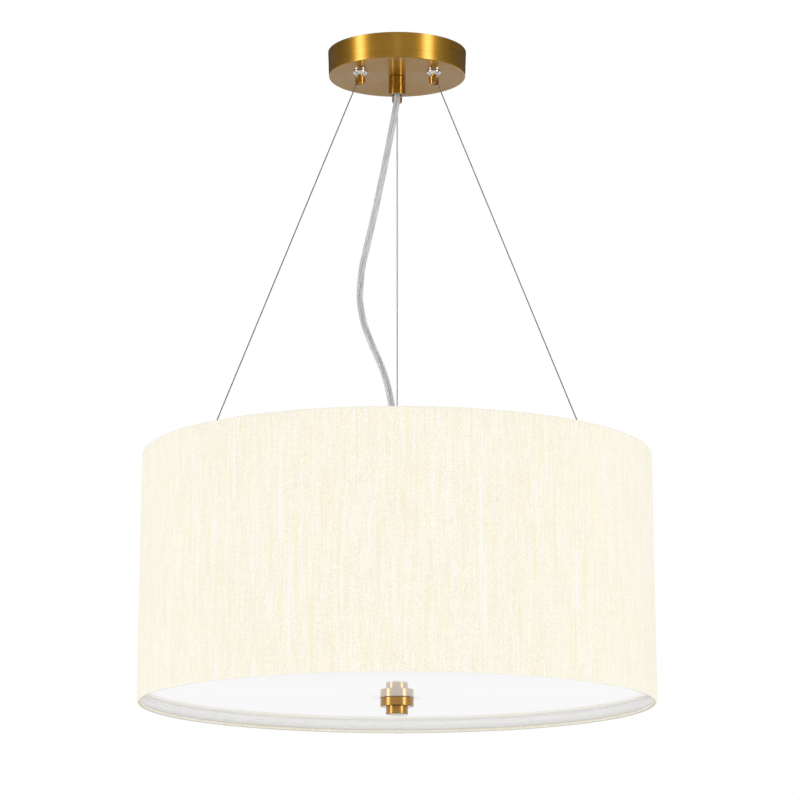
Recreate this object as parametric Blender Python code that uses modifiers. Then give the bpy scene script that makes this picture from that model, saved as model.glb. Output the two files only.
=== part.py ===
"""Drum pendant light: a fabric drum hung on three adjustable wires below a round canopy.

Blender 4.5, metres, +Z up. The origin is the middle of the ceiling bracket's top face, the lamp
hangs towards -Z and its front faces -Y. Heights are written Z_... and are worked out downwards
from the ceiling. An azimuth is the angle from the front, positive towards +X.
"""
import math

import bmesh
import bpy
import numpy as np
from mathutils import Matrix, Vector

# Clearances, and the overrun of a cutter past what it cuts
GAP = 0.0003
MERGE = 0.00001
OVERRUN = 0.002
THREAD_CLEARANCE = 0.0003

# Facets round each kind of turned piece
SHADE_FACETS = 48
CANOPY_FACETS = 48
LARGE_FACETS = 24
SMALL_FACETS = 16
SCREW_FACETS = 12
WIRE_FACETS = 6
HEX_FACETS = 6
FILLET_STEPS = 3
ROUTE_STEPS = 24

# Angles in degrees: shading is sharp past the first, and an edge is softened past the second
SHARP_ANGLE = 35
SOFT_ANGLE = 50
QUARTER_TURN = math.radians(90)

# Ceiling bracket: a steel strap with two turned-down tabs
BRACKET_WIDTH = 0.022
BRACKET_THICK = 0.002
BRACKET_BEND = 0.003
TAB_DEPTH = 0.015
SLOT_WIDTH = 0.005
SLOT_LENGTH = 0.014
SLOT_CENTRE = 0.050

# Canopy: a spun cup, open towards the ceiling
CANOPY_TOP_RADIUS = 0.0692
CANOPY_TAPER = 0.0009
CANOPY_DEPTH = 0.0258
CANOPY_WALL = 0.0012
CANOPY_EDGE = 0.0014
CANOPY_SCREW_RADIUS = 0.002
CANOPY_SCREW_DROP = 0.009
CANOPY_SCREW_LENGTH = 0.006

# Power cord and its grip in the middle of the canopy
CORD_RADIUS = 0.00325
GRIP_RADIUS = 0.0086
GRIP_LENGTH = 0.0182
GRIP_CHAMFER = 0.0008
GRIP_MOUTH_RADIUS = 0.0046
GRIP_MOUTH_DEPTH = 0.010
GRIP_STEM_RADIUS = 0.005
GRIP_STEM_LENGTH = 0.0105
GRIP_NUT_RADIUS = 0.0081
GRIP_NUT_THICK = 0.0035
GRIP_SCREW_RADIUS = 0.0015
BUSH_RECESS = 0.0008
CORD_START_DEPTH = 0.0020
LEAD_RADIUS = 0.0011
LEAD_SPREAD = 0.005

# Terminal block beside the cord grip, under the strap
BLOCK_LENGTH = 0.017
BLOCK_WIDTH = 0.018
BLOCK_HEIGHT = 0.012
BLOCK_OFFSET = 0.014
BLOCK_BEVEL = 0.0008
BLOCK_HOLE_DEPTH = 0.006
BLOCK_WELL_RADIUS = 0.0017
BLOCK_WELL_DEPTH = 0.004
LEAD_INSERT = 0.003

# Wire grippers on a circle round the cord grip
GRIPPER_CIRCLE = 0.0424
WIRE_RADIUS = 0.0006
COLLAR_RADIUS = 0.0072
COLLAR_RIM = 0.0007
COLLAR_HEIGHT = 0.0042
COLLAR_FOOT_RADIUS = 0.0036
GRIPPER_STEM_RADIUS = 0.004
GRIPPER_STEM_RISE = 0.014
GRIPPER_BORE_RISE = 0.004
GRIPPER_NUT_RADIUS = 0.0070
GRIPPER_NUT_THICK = 0.004
PLUNGER_NECK_RADIUS = 0.002
PLUNGER_RADIUS = 0.005
PLUNGER_LENGTH = 0.0078
PLUNGER_ROUND = 0.0018
PLUNGER_TRAVEL = 0.0015
PLUNGER_SLOT_GAP = 0.0005
PLUNGER_SLOT_MOUTH = 0.0062
WIRE_START_INSET = 0.0005

# Shade: fabric on a liner, rolled over a wire ring at both rims
SHADE_DROP = 0.4132
SHADE_TOP_RADIUS = 0.2490
SHADE_FLARE = 0.002
SHADE_HEIGHT = 0.2436
FABRIC_THICK = 0.0006
RING_RADIUS = 0.0010
RING_FACETS = 6
HEM_STEPS = 4
HEM_LIP = 0.0005

# Shade carrier: three arms clamped on a hub
ARM_WIDTH = 0.014
ARM_THICK = 0.0025
ARM_INNER_RADIUS = 0.016
TONGUE_THICK = 0.002
TONGUE_RISE = 0.0034
WIRE_FOOT_INSET = 0.041
WIRE_HOLE_RADIUS = 0.0018
WIRE_STOP_RADIUS = 0.0026
WIRE_STOP_LENGTH = 0.007
WIRE_STOP_EDGE = 0.0006
ARM_SCREW_RADIUS = 0.002
ARM_SCREW_INSET = 0.007
ARM_SCREW_LENGTH = 0.009
ARM_SCREW_HEAD_RADIUS = 0.0036
ARM_SCREW_HEAD = 0.0022
HUB_PLATE_LIP = 0.005
HUB_PLATE_THICK = 0.0025
HUB_RADIUS = 0.033
HUB_HEIGHT = 0.062
HUB_WALL = 0.0015
HUB_EDGE = 0.002
HUB_BASE_THICK = 0.002
GLAND_RADIUS = 0.009
GLAND_FLANGE = 0.004
GLAND_TOP_RADIUS = 0.0055
GLAND_HEIGHT = 0.0105
GLAND_STEM_RADIUS = 0.006
CORD_END_DEPTH = 0.006

# Lampholders lie flat round the hub, between the arms
HOLDER_DROP = 0.040
HOLDER_BACK_RADIUS = 0.0165
HOLDER_RADIUS = 0.0195
HOLDER_LENGTH = 0.050
HOLDER_EDGE = 0.0015
HOLDER_SKIRT_LENGTH = 0.022
HOLDER_SKIRT_STEP = 0.0012
HOLDER_BORE_DEPTH = 0.030
HOLDER_NIPPLE_RADIUS = 0.005
HOLDER_NIPPLE_LENGTH = 0.007
BULB_CAP_RADIUS = 0.0132
BULB_CAP_LENGTH = 0.024
BULB_CAP_TIP_RADIUS = 0.005
BULB_CAP_TIP = 0.004
BULB_CAP_WALL = 0.001
BULB_RUNNING_GAP = 0.0005
GLOBE_RADIUS = 0.030
GLOBE_LENGTH = 0.084
GLOBE_NECK_RADIUS = 0.0140
GLOBE_WALL = 0.0015
GLOBE_NECK_LENGTH = 0.012
GLOBE_NECK_STEPS = 2
GLOBE_DOME_STEPS = 4

# Stem, diffuser and finial
STEM_RADIUS = 0.005
STEM_NUT_RADIUS = 0.0092
STEM_NUT_THICK = 0.006
STEM_RISE = 0.014
STEM_SHORT = 0.001
STOP_WASHER_RADIUS = 0.014
STOP_WASHER_THICK = 0.0015
DIFFUSER_MARGIN = 0.007
DIFFUSER_THICK = 0.003
DIFFUSER_RECESS = 0.0063
DIFFUSER_DISH = 0.0024
DIFFUSER_DISH_STEPS = 3
FINIAL_RADIUS = 0.0163
FINIAL_DISC = 0.0083
FINIAL_KNOB_RADIUS = 0.0108
FINIAL_KNOB = 0.0075
FINIAL_EDGE = 0.0005
FINIAL_BORE_DEPTH = 0.0115

# Radii that follow the canopy's, the hub's or the shade's
CANOPY_FACE_RADIUS = CANOPY_TOP_RADIUS - CANOPY_TAPER
ARM_SCREW_CIRCLE = HUB_RADIUS - ARM_SCREW_INSET
HUB_PLATE_RADIUS = HUB_RADIUS + HUB_PLATE_LIP
SHADE_BOTTOM_RADIUS = SHADE_TOP_RADIUS + SHADE_FLARE
DIFFUSER_RADIUS = SHADE_BOTTOM_RADIUS - DIFFUSER_MARGIN
WIRE_FOOT_RADIUS = SHADE_TOP_RADIUS - WIRE_FOOT_INSET

# Heights, from the ceiling down
Z_CEILING = 0.0
Z_CANOPY_RIM = Z_CEILING - GAP
Z_CANOPY_FACE = Z_CANOPY_RIM - CANOPY_DEPTH
Z_CANOPY_FLOOR = Z_CANOPY_FACE + CANOPY_WALL
Z_BRACKET_UNDER = Z_CEILING - BRACKET_THICK
Z_GRIP_TOP = Z_CANOPY_FACE - GAP
Z_GRIP_BOTTOM = Z_GRIP_TOP - GRIP_LENGTH
Z_GRIP_STEM = Z_GRIP_TOP + GRIP_STEM_LENGTH
Z_CORD_START = Z_GRIP_BOTTOM + CORD_START_DEPTH
Z_COLLAR_TOP = Z_CANOPY_FACE - GAP
Z_COLLAR_FOOT = Z_COLLAR_TOP - COLLAR_HEIGHT
Z_GRIPPER_BORE = Z_COLLAR_TOP + GRIPPER_BORE_RISE
Z_PLUNGER_TOP = Z_GRIPPER_BORE - PLUNGER_TRAVEL - GAP
Z_PLUNGER_SHOULDER = Z_COLLAR_FOOT - PLUNGER_TRAVEL - GAP
Z_WIRE_START = Z_COLLAR_FOOT + WIRE_START_INSET
Z_SHADE_TOP = Z_CEILING - SHADE_DROP
Z_SHADE_BOTTOM = Z_SHADE_TOP - SHADE_HEIGHT
HEM_RADIUS = RING_RADIUS + GAP + FABRIC_THICK
Z_LIP_END = Z_SHADE_TOP - HEM_RADIUS - HEM_RADIUS - HEM_LIP
Z_ARM_TOP = Z_LIP_END - GAP
Z_ARM_UNDER = Z_ARM_TOP - ARM_THICK
Z_PLATE_UNDER = Z_ARM_TOP + GAP
Z_PLATE_TOP = Z_PLATE_UNDER + HUB_PLATE_THICK
Z_HUB_TOP = Z_ARM_UNDER - GAP
Z_HUB_FOOT = Z_HUB_TOP - HUB_HEIGHT
Z_BASE_TOP = Z_HUB_FOOT - GAP
Z_BASE_UNDER = Z_BASE_TOP - HUB_BASE_THICK
Z_GLAND_FOOT = Z_PLATE_TOP + GAP
Z_GLAND_TOP = Z_GLAND_FOOT + GLAND_HEIGHT
Z_CORD_END = Z_GLAND_TOP - CORD_END_DEPTH
Z_HOLDER_AXIS = Z_HUB_TOP - HOLDER_DROP
Z_DIFFUSER_UNDER = Z_SHADE_BOTTOM + DIFFUSER_RECESS
Z_DIFFUSER_TOP = Z_DIFFUSER_UNDER + DIFFUSER_THICK
Z_FINIAL_TOP = Z_DIFFUSER_UNDER - GAP
Z_FINIAL_BORE = Z_FINIAL_TOP - FINIAL_BORE_DEPTH
Z_STEM_TIP = Z_FINIAL_BORE + STEM_SHORT

# The places round the lamp: arms, wires and grippers, and the lampholders between them
ARM_PLACES = {"left": -60.0, "right": 60.0, "rear": 180.0}
HOLDER_PLACES = {"front": 0.0, "right": 120.0, "left": -120.0}
LEAD_PLACES = {"neutral": -1, "earth": 0, "live": 1}

# The cord's free stretch, hand-chosen between its straight ends (x, y, z)
CORD_ROUTE = [
    (-0.0003, 0.0000, -0.0520),
    (-0.0028, 0.0010, -0.0657),
    (-0.0077, 0.0030, -0.0916),
    (-0.0126, 0.0050, -0.1174),
    (-0.0180, 0.0070, -0.1432),
    (-0.0234, 0.0085, -0.1692),
    (-0.0307, 0.0090, -0.2016),
    (-0.0346, 0.0085, -0.2201),
    (-0.0369, 0.0065, -0.2465),
    (-0.0359, 0.0045, -0.2621),
    (-0.0322, 0.0020, -0.2802),
    (-0.0258, -0.0010, -0.2983),
    (-0.0184, -0.0030, -0.3161),
    (-0.0125, -0.0040, -0.3314),
    (-0.0085, -0.0040, -0.3463),
    (-0.0052, -0.0030, -0.3623),
    (-0.0024, -0.0015, -0.3790),
    (-0.0005, -0.0004, -0.3940),
]
CORD_STEP = 0.0145

# Colour, roughness and metallic value of each finish
SATIN_BRASS = ((0.53, 0.36, 0.14), 0.32, 1.0)
BRIGHT_BRASS = ((0.62, 0.42, 0.15), 0.20, 1.0)
CHROME = ((0.62, 0.61, 0.59), 0.12, 1.0)
STEEL = ((0.50, 0.50, 0.49), 0.35, 1.0)
WHITE_METAL = ((0.80, 0.79, 0.76), 0.45, 0.0)
DARK_PLASTIC = ((0.03, 0.03, 0.03), 0.50, 0.0)
WHITE_PLASTIC = ((0.82, 0.81, 0.78), 0.40, 0.0)
CLEAR_CORD = ((0.62, 0.61, 0.61), 0.30, 0.0)
CREAM_FABRIC = ((0.93, 0.88, 0.76), 0.85, 0.0)
OPAL = ((0.90, 0.89, 0.87), 0.15, 0.0)
BROWN = ((0.20, 0.09, 0.04), 0.45, 0.0)
BLUE = ((0.03, 0.14, 0.45), 0.45, 0.0)
GREEN_YELLOW = ((0.35, 0.50, 0.06), 0.45, 0.0)
LEAD_FINISHES = {"neutral": BLUE, "earth": GREEN_YELLOW, "live": BROWN}


def clear_scene():
    """Remove what the file holds, and return the two collections that this part uses."""
    for thing in list(bpy.data.objects):
        bpy.data.objects.remove(thing)
    parts = bpy.data.collections.new("drum_pendant_light")
    cutters = bpy.data.collections.new("cutters")
    for group in (parts, cutters):
        bpy.context.scene.collection.children.link(group)
    return parts, cutters


PARTS, CUTTERS = clear_scene()


def finish(thing, look):
    """Give a piece a material of its own, with the colour, roughness and metallic value of look."""
    colour, roughness, metallic = look
    material = bpy.data.materials.new(thing.name + "_finish")
    material.use_nodes = True
    shader = material.node_tree.nodes["Principled BSDF"]
    shader.inputs["Base Color"].default_value = (*colour, 1.0)
    shader.inputs["Roughness"].default_value = roughness
    shader.inputs["Metallic"].default_value = metallic
    thing.data.materials.clear()
    thing.data.materials.append(material)


def piece(name, mesh, look, place=(0, 0, 0), turn=(0, 0, 0)):
    """A named part: smooth across shallow edges, finished, and put in the parts collection."""
    mesh.shade_smooth()
    mesh.set_sharp_from_angle(angle=math.radians(SHARP_ANGLE))
    thing = bpy.data.objects.new(name, mesh)
    thing.location = place
    thing.rotation_euler = turn
    PARTS.objects.link(thing)
    finish(thing, look)
    return thing


def cutter(name, mesh, place=(0, 0, 0), turn=(0, 0, 0)):
    """A body that a Boolean takes away from a part, hidden from renders."""
    thing = bpy.data.objects.new(name, mesh)
    thing.location = place
    thing.rotation_euler = turn
    thing.hide_render = True
    thing.display_type = "WIRE"
    CUTTERS.objects.link(thing)
    return thing


def cut(thing, tool):
    """Take the tool away from the thing with an exact Boolean."""
    boolean = thing.modifiers.new("cut_" + tool.name, "BOOLEAN")
    boolean.operation = "DIFFERENCE"
    boolean.solver = "EXACT"
    boolean.object = tool


def outward(azimuth):
    """Unit vector that points out from the lamp's axis at an azimuth in degrees."""
    angle = math.radians(azimuth)
    return Vector((math.sin(angle), -math.cos(angle), 0))


def facing(azimuth):
    """Rotation that turns a mesh's local -Y to an azimuth in degrees."""
    return (0, 0, math.radians(azimuth))


def laid_out(azimuth):
    """Rotation that lays a mesh's local +Z flat, pointing out at an azimuth in degrees."""
    return (QUARTER_TURN, 0, math.radians(azimuth))


def arc(centre, radius, start, end, steps=FILLET_STEPS):
    """Points of an arc in the profile plane, angles in degrees from +X towards +Z."""
    angles = np.radians(np.linspace(start, end, steps + 1))
    return [(centre[0] + radius * math.cos(a), centre[1] + radius * math.sin(a)) for a in angles]


def turned_mesh(name, profile, facets, closed=False):
    """Revolve a profile of (radius, height) points about Z, as a Screw modifier leaves it."""
    mesh = bpy.data.meshes.new(name)
    edges = [(i, i + 1) for i in range(len(profile) - 1)]
    if closed:
        edges.append((len(profile) - 1, 0))
    mesh.from_pydata([(r, 0, z) for r, z in profile], edges, [])
    blank = bpy.data.objects.new(name + "_profile", mesh)
    CUTTERS.objects.link(blank)
    screw = blank.modifiers.new("screw", "SCREW")
    screw.steps = facets
    screw.render_steps = facets
    screw.use_merge_vertices = True
    screw.merge_threshold = MERGE
    screw.use_smooth_shade = False
    bpy.context.view_layer.update()
    revolved = bpy.data.meshes.new_from_object(blank.evaluated_get(bpy.context.evaluated_depsgraph_get()))
    bpy.data.objects.remove(blank)
    return welded(revolved)


def welded(mesh):
    """Merge doubled vertices and point every face of a closed mesh outwards."""
    bm = bmesh.new()
    bm.from_mesh(mesh)
    bmesh.ops.remove_doubles(bm, verts=bm.verts, dist=MERGE)
    bmesh.ops.recalc_face_normals(bm, faces=bm.faces)
    bm.to_mesh(mesh)
    bm.free()
    return mesh


def cylinder_mesh(name, radius, low, high, facets=SMALL_FACETS, tip_radius=None):
    """A capped cylinder or cone on Z between two heights."""
    bm = bmesh.new()
    bmesh.ops.create_cone(
        bm, cap_ends=True, segments=facets, depth=high - low,
        radius1=radius, radius2=radius if tip_radius is None else tip_radius,
        matrix=Matrix.Translation((0, 0, (low + high) / 2)),
    )
    mesh = bpy.data.meshes.new(name)
    bm.to_mesh(mesh)
    bm.free()
    return mesh


def box_mesh(name, low, high):
    """A box between two corners."""
    low, high = Vector(low), Vector(high)
    bm = bmesh.new()
    bmesh.ops.create_cube(bm, size=1, matrix=Matrix.LocRotScale((low + high) / 2, None, high - low))
    mesh = bpy.data.meshes.new(name)
    bm.to_mesh(mesh)
    bm.free()
    return mesh


def curve_mesh(curve, name):
    """The closed mesh of a curve, with its caps welded on, and the curve removed."""
    blank = bpy.data.objects.new(name + "_curve", curve)
    CUTTERS.objects.link(blank)
    bpy.context.view_layer.update()
    mesh = bpy.data.meshes.new_from_object(blank.evaluated_get(bpy.context.evaluated_depsgraph_get()))
    bpy.data.objects.remove(blank)
    return welded(mesh)


def flat_mesh(name, outlines, thick):
    """A sheet cut to closed outlines in XY, the later ones being holes, thick along Z about zero."""
    curve = bpy.data.curves.new(name, "CURVE")
    curve.dimensions = "2D"
    curve.fill_mode = "BOTH"
    curve.extrude = thick / 2
    for outline in outlines:
        spline = curve.splines.new("POLY")
        spline.points.add(len(outline) - 1)
        for point, (x, y) in zip(spline.points, outline):
            point.co = (x, y, 0, 1)
        spline.use_cyclic_u = True
    return curve_mesh(curve, name)


def circle(radius, centre=(0, 0), facets=SMALL_FACETS):
    """Outline of a circle."""
    angles = [math.tau * i / facets for i in range(facets)]
    return [(centre[0] + radius * math.cos(a), centre[1] + radius * math.sin(a)) for a in angles]


def obround(length, width, facets=SMALL_FACETS):
    """Outline of a slot with round ends, along X about the origin."""
    reach = (length - width) / 2
    half = facets // 2
    right = arc((reach, 0), width / 2, -90, 90, half)
    left = arc((-reach, 0), width / 2, 90, 270, half)
    return right + left


def smooth_route(points, step):
    """Evenly spaced points of a Catmull-Rom curve through hand-chosen points."""
    knots = np.array(points, dtype=float)
    ends = np.vstack([2 * knots[0] - knots[1], knots, 2 * knots[-1] - knots[-2]])
    share = np.linspace(0, 1, ROUTE_STEPS, endpoint=False)[:, None]
    runs = []
    for a, b, c, d in zip(ends, ends[1:], ends[2:], ends[3:]):
        bend = share * (c - a) + share**2 * (2 * a - 5 * b + 4 * c - d) + share**3 * (3 * b - a - 3 * c + d)
        runs.append(b + bend / 2)
    fine = np.vstack(runs + [knots[-1:]])
    along = np.concatenate([[0], np.cumsum(np.linalg.norm(np.diff(fine, axis=0), axis=1))])
    places = np.linspace(0, along[-1], max(2, round(along[-1] / step)) + 1)
    return np.column_stack([np.interp(places, along, fine[:, axis]) for axis in range(3)])


def tube_mesh(name, points, radius, resolution=2):
    """A round tube with capped ends along points."""
    curve = bpy.data.curves.new(name, "CURVE")
    curve.dimensions = "3D"
    curve.bevel_depth = radius
    curve.bevel_resolution = resolution
    curve.use_fill_caps = True
    spline = curve.splines.new("POLY")
    spline.points.add(len(points) - 1)
    for point, place in zip(spline.points, points):
        point.co = (*place, 1)
    return curve_mesh(curve, name)


def soften(thing, width, segments=2):
    """Round a part's sharp edges."""
    bevel = thing.modifiers.new("soften", "BEVEL")
    bevel.width = width
    bevel.segments = segments
    bevel.limit_method = "ANGLE"
    bevel.angle_limit = math.radians(SOFT_ANGLE)
    bevel.use_clamp_overlap = True


def nut_mesh(name, radius, bore, thick, facets=SMALL_FACETS):
    """A hexagon nut standing on z = 0, with its bore."""
    outline = circle(radius, facets=HEX_FACETS)
    mesh = flat_mesh(name, [outline, circle(bore, facets=facets)], thick)
    mesh.transform(Matrix.Translation((0, 0, thick / 2)))
    return mesh


def washer_mesh(name, radius, bore, thick):
    """A round washer standing on z = 0."""
    section = [(radius, thick), (radius, 0), (bore, 0), (bore, thick)]
    return turned_mesh(name, section, SMALL_FACETS, closed=True)


def canopy_inner_radius(height):
    """Inner radius of the canopy's wall, which widens a little towards the ceiling."""
    share = (height - Z_CANOPY_FACE) / CANOPY_DEPTH
    outer = CANOPY_FACE_RADIUS + share * (CANOPY_TOP_RADIUS - CANOPY_FACE_RADIUS)
    return outer - CANOPY_WALL


def bracket_reach():
    """Half the strap's length, so that its tabs stand just inside the canopy's wall."""
    wall = canopy_inner_radius(Z_CEILING - TAB_DEPTH) * math.cos(math.pi / CANOPY_FACETS) - GAP
    return math.sqrt(wall**2 - (BRACKET_WIDTH / 2) ** 2)


def make_bracket():
    """Steel strap, cut from the side outline of its bends, with a slot in each half."""
    reach = bracket_reach()
    outer = arc((reach - BRACKET_BEND, Z_CEILING - BRACKET_BEND), BRACKET_BEND, 90, 0)
    inner_bend = BRACKET_BEND - BRACKET_THICK
    inner = arc((reach - BRACKET_BEND, Z_CEILING - BRACKET_BEND), inner_bend, 0, 90)
    foot = Z_CEILING - TAB_DEPTH
    right = outer + [(reach, foot), (reach - BRACKET_THICK, foot)] + inner
    left = [(-x, z) for x, z in reversed(right)]
    mesh = flat_mesh("ceiling_bracket", [left + right], BRACKET_WIDTH)
    mesh.transform(Matrix.Rotation(QUARTER_TURN, 4, "X"))
    bracket = piece("ceiling_bracket", mesh, STEEL)
    slot = flat_mesh("bracket_slot", [obround(SLOT_LENGTH, SLOT_WIDTH)], BRACKET_THICK + OVERRUN)
    radius = CANOPY_SCREW_RADIUS + THREAD_CLEARANCE
    hole = cylinder_mesh("tab_hole", radius, -OVERRUN, BRACKET_THICK + OVERRUN, SCREW_FACETS)
    for side, sign in (("left", -1), ("right", 1)):
        middle = (sign * SLOT_CENTRE, 0, Z_CEILING - BRACKET_THICK / 2)
        cut(bracket, cutter("bracket_slot_" + side, slot, middle))
        seat = (sign * (reach - BRACKET_THICK), 0, Z_CEILING - CANOPY_SCREW_DROP)
        cut(bracket, cutter("tab_hole_" + side, hole, seat, (0, sign * QUARTER_TURN, 0)))


def make_canopy():
    """Spun cup with a wall of even thickness, drilled for the grip, the grippers and its screws."""
    edge = (CANOPY_FACE_RADIUS - CANOPY_EDGE, Z_CANOPY_FACE + CANOPY_EDGE)
    inner_edge = CANOPY_EDGE - CANOPY_WALL
    passage = GRIP_STEM_RADIUS + GAP
    outside = [(CANOPY_TOP_RADIUS, Z_CANOPY_RIM)] + arc(edge, CANOPY_EDGE, 0, -90)
    outside.append((passage, Z_CANOPY_FACE))
    inside = [(passage, Z_CANOPY_FLOOR)] + arc(edge, inner_edge, -90, 0, 1)
    inside.append((CANOPY_TOP_RADIUS - CANOPY_WALL, Z_CANOPY_RIM))
    shell = turned_mesh("canopy", outside + inside, CANOPY_FACETS, closed=True)
    canopy = piece("canopy", shell, SATIN_BRASS)
    low, high = Z_CANOPY_FACE - OVERRUN, Z_CANOPY_FLOOR + OVERRUN
    gripper_hole = cylinder_mesh("gripper_hole", GRIPPER_STEM_RADIUS + GAP, low, high)
    for name, azimuth in ARM_PLACES.items():
        place = outward(azimuth) * GRIPPER_CIRCLE
        cut(canopy, cutter("gripper_hole_" + name, gripper_hole, place, facing(azimuth)))
    radius = CANOPY_SCREW_RADIUS + THREAD_CLEARANCE
    screw_hole = cylinder_mesh("screw_hole", radius, -CANOPY_WALL - OVERRUN, OVERRUN, SCREW_FACETS)
    for side, sign in (("left", -1), ("right", 1)):
        seat = (sign * CANOPY_TOP_RADIUS, 0, Z_CEILING - CANOPY_SCREW_DROP)
        cut(canopy, cutter("screw_hole_" + side, screw_hole, seat, (0, sign * QUARTER_TURN, 0)))


def make_canopy_screws():
    """Headless screws through the canopy's wall into the bracket's tabs, flush outside."""
    height = Z_CEILING - CANOPY_SCREW_DROP
    flush = (canopy_inner_radius(height) + CANOPY_WALL) * math.cos(math.pi / CANOPY_FACETS)
    mesh = cylinder_mesh("canopy_screw", CANOPY_SCREW_RADIUS, -CANOPY_SCREW_LENGTH, 0, SCREW_FACETS)
    for side, sign in (("left", -1), ("right", 1)):
        seat, turn = (sign * (flush - GAP), 0, height), (0, sign * QUARTER_TURN, 0)
        screw = piece("canopy_screw_" + side, mesh.copy(), SATIN_BRASS, seat, turn)
        soften(screw, GAP, 1)


def make_cord_grip():
    """Brass barrel with a stem through the canopy, its bush, nut and side screw."""
    bore = CORD_RADIUS + GAP
    mouth = Z_GRIP_BOTTOM + GRIP_MOUTH_DEPTH
    outside = [
        (GRIP_STEM_RADIUS, Z_GRIP_STEM),
        (GRIP_STEM_RADIUS, Z_GRIP_TOP),
        (GRIP_RADIUS, Z_GRIP_TOP),
        (GRIP_RADIUS, Z_GRIP_BOTTOM + GRIP_CHAMFER),
        (GRIP_RADIUS - GRIP_CHAMFER, Z_GRIP_BOTTOM),
    ]
    inside = [
        (GRIP_MOUTH_RADIUS, Z_GRIP_BOTTOM), (GRIP_MOUTH_RADIUS, mouth),
        (bore, mouth), (bore, Z_GRIP_STEM),
    ]
    barrel = turned_mesh("cord_grip", outside + inside, LARGE_FACETS, closed=True)
    grip = piece("cord_grip", barrel, SATIN_BRASS)
    bush_radius = GRIP_MOUTH_RADIUS - GAP
    low, high = Z_GRIP_BOTTOM + BUSH_RECESS, mouth - GAP
    bush = [(bush_radius, high), (bush_radius, low), (bore, low), (bore, high)]
    piece("cord_grip_bush", turned_mesh("cord_grip_bush", bush, LARGE_FACETS, closed=True), DARK_PLASTIC)
    thread = GRIP_STEM_RADIUS + THREAD_CLEARANCE
    nut = nut_mesh("cord_grip_nut", GRIP_NUT_RADIUS, thread, GRIP_NUT_THICK, LARGE_FACETS)
    piece("cord_grip_nut", nut, STEEL, (0, 0, Z_CANOPY_FLOOR + GAP))
    height = (low + high) / 2
    inner, outer = GRIP_MOUTH_RADIUS, GRIP_RADIUS * math.cos(math.pi / LARGE_FACETS) - GAP
    radius = GRIP_SCREW_RADIUS + THREAD_CLEARANCE
    hole = cylinder_mesh("side_hole", radius, inner - GAP, outer + OVERRUN, SCREW_FACETS)
    cut(grip, cutter("side_hole", hole, (0, 0, height), laid_out(180)))
    screw = cylinder_mesh("cord_grip_screw", GRIP_SCREW_RADIUS, inner, outer, SCREW_FACETS)
    piece("cord_grip_screw", screw, SATIN_BRASS, (0, 0, height), laid_out(180))


def make_gripper(name, azimuth):
    """One wire gripper: chrome cone and stem in one, its nut, and the brass release plunger.

    The plunger's slot widens outwards, so that the wire can leave it at a slope."""
    place = outward(azimuth) * GRIPPER_CIRCLE
    bore = PLUNGER_NECK_RADIUS + GAP
    stem_top = Z_COLLAR_TOP + GRIPPER_STEM_RISE
    body = [
        (0, stem_top),
        (GRIPPER_STEM_RADIUS, stem_top),
        (GRIPPER_STEM_RADIUS, Z_COLLAR_TOP),
        (COLLAR_RADIUS, Z_COLLAR_TOP),
        (COLLAR_RADIUS, Z_COLLAR_TOP - COLLAR_RIM),
        (COLLAR_FOOT_RADIUS, Z_COLLAR_FOOT),
        (bore, Z_COLLAR_FOOT),
        (bore, Z_GRIPPER_BORE),
        (0, Z_GRIPPER_BORE),
    ]
    mesh = turned_mesh("gripper", body, SMALL_FACETS)
    piece("gripper_" + name, mesh, CHROME, place, facing(azimuth))
    thread = GRIPPER_STEM_RADIUS + THREAD_CLEARANCE
    nut = nut_mesh("gripper_nut", GRIPPER_NUT_RADIUS, thread, GRIPPER_NUT_THICK)
    seat = place + Vector((0, 0, Z_CANOPY_FLOOR + GAP))
    piece("gripper_nut_" + name, nut, STEEL, seat, facing(azimuth))
    foot = Z_PLUNGER_SHOULDER - PLUNGER_LENGTH
    round_centre = (PLUNGER_RADIUS - PLUNGER_ROUND, foot + PLUNGER_ROUND)
    barrel = [
        (0, Z_PLUNGER_TOP),
        (PLUNGER_NECK_RADIUS, Z_PLUNGER_TOP),
        (PLUNGER_NECK_RADIUS, Z_PLUNGER_SHOULDER),
        (PLUNGER_RADIUS, Z_PLUNGER_SHOULDER),
    ] + arc(round_centre, PLUNGER_ROUND, 0, -90) + [(0, foot)]
    mesh = turned_mesh("plunger", barrel, SMALL_FACETS)
    plunger = piece("gripper_plunger_" + name, mesh, BRIGHT_BRASS, place, facing(azimuth))
    half_slot, half_mouth = WIRE_RADIUS + PLUNGER_SLOT_GAP, PLUNGER_SLOT_MOUTH / 2
    outline = [
        (half_slot, 0), (half_slot, half_slot), (-half_slot, half_slot), (-half_slot, 0),
        (-half_mouth, -PLUNGER_RADIUS - OVERRUN), (half_mouth, -PLUNGER_RADIUS - OVERRUN),
    ]
    slot = flat_mesh("plunger_slot", [outline], Z_PLUNGER_TOP - foot + OVERRUN + OVERRUN)
    middle = place + Vector((0, 0, (Z_PLUNGER_TOP + foot) / 2))
    cut(plunger, cutter("plunger_slot_" + name, slot, middle, facing(azimuth)))


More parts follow.
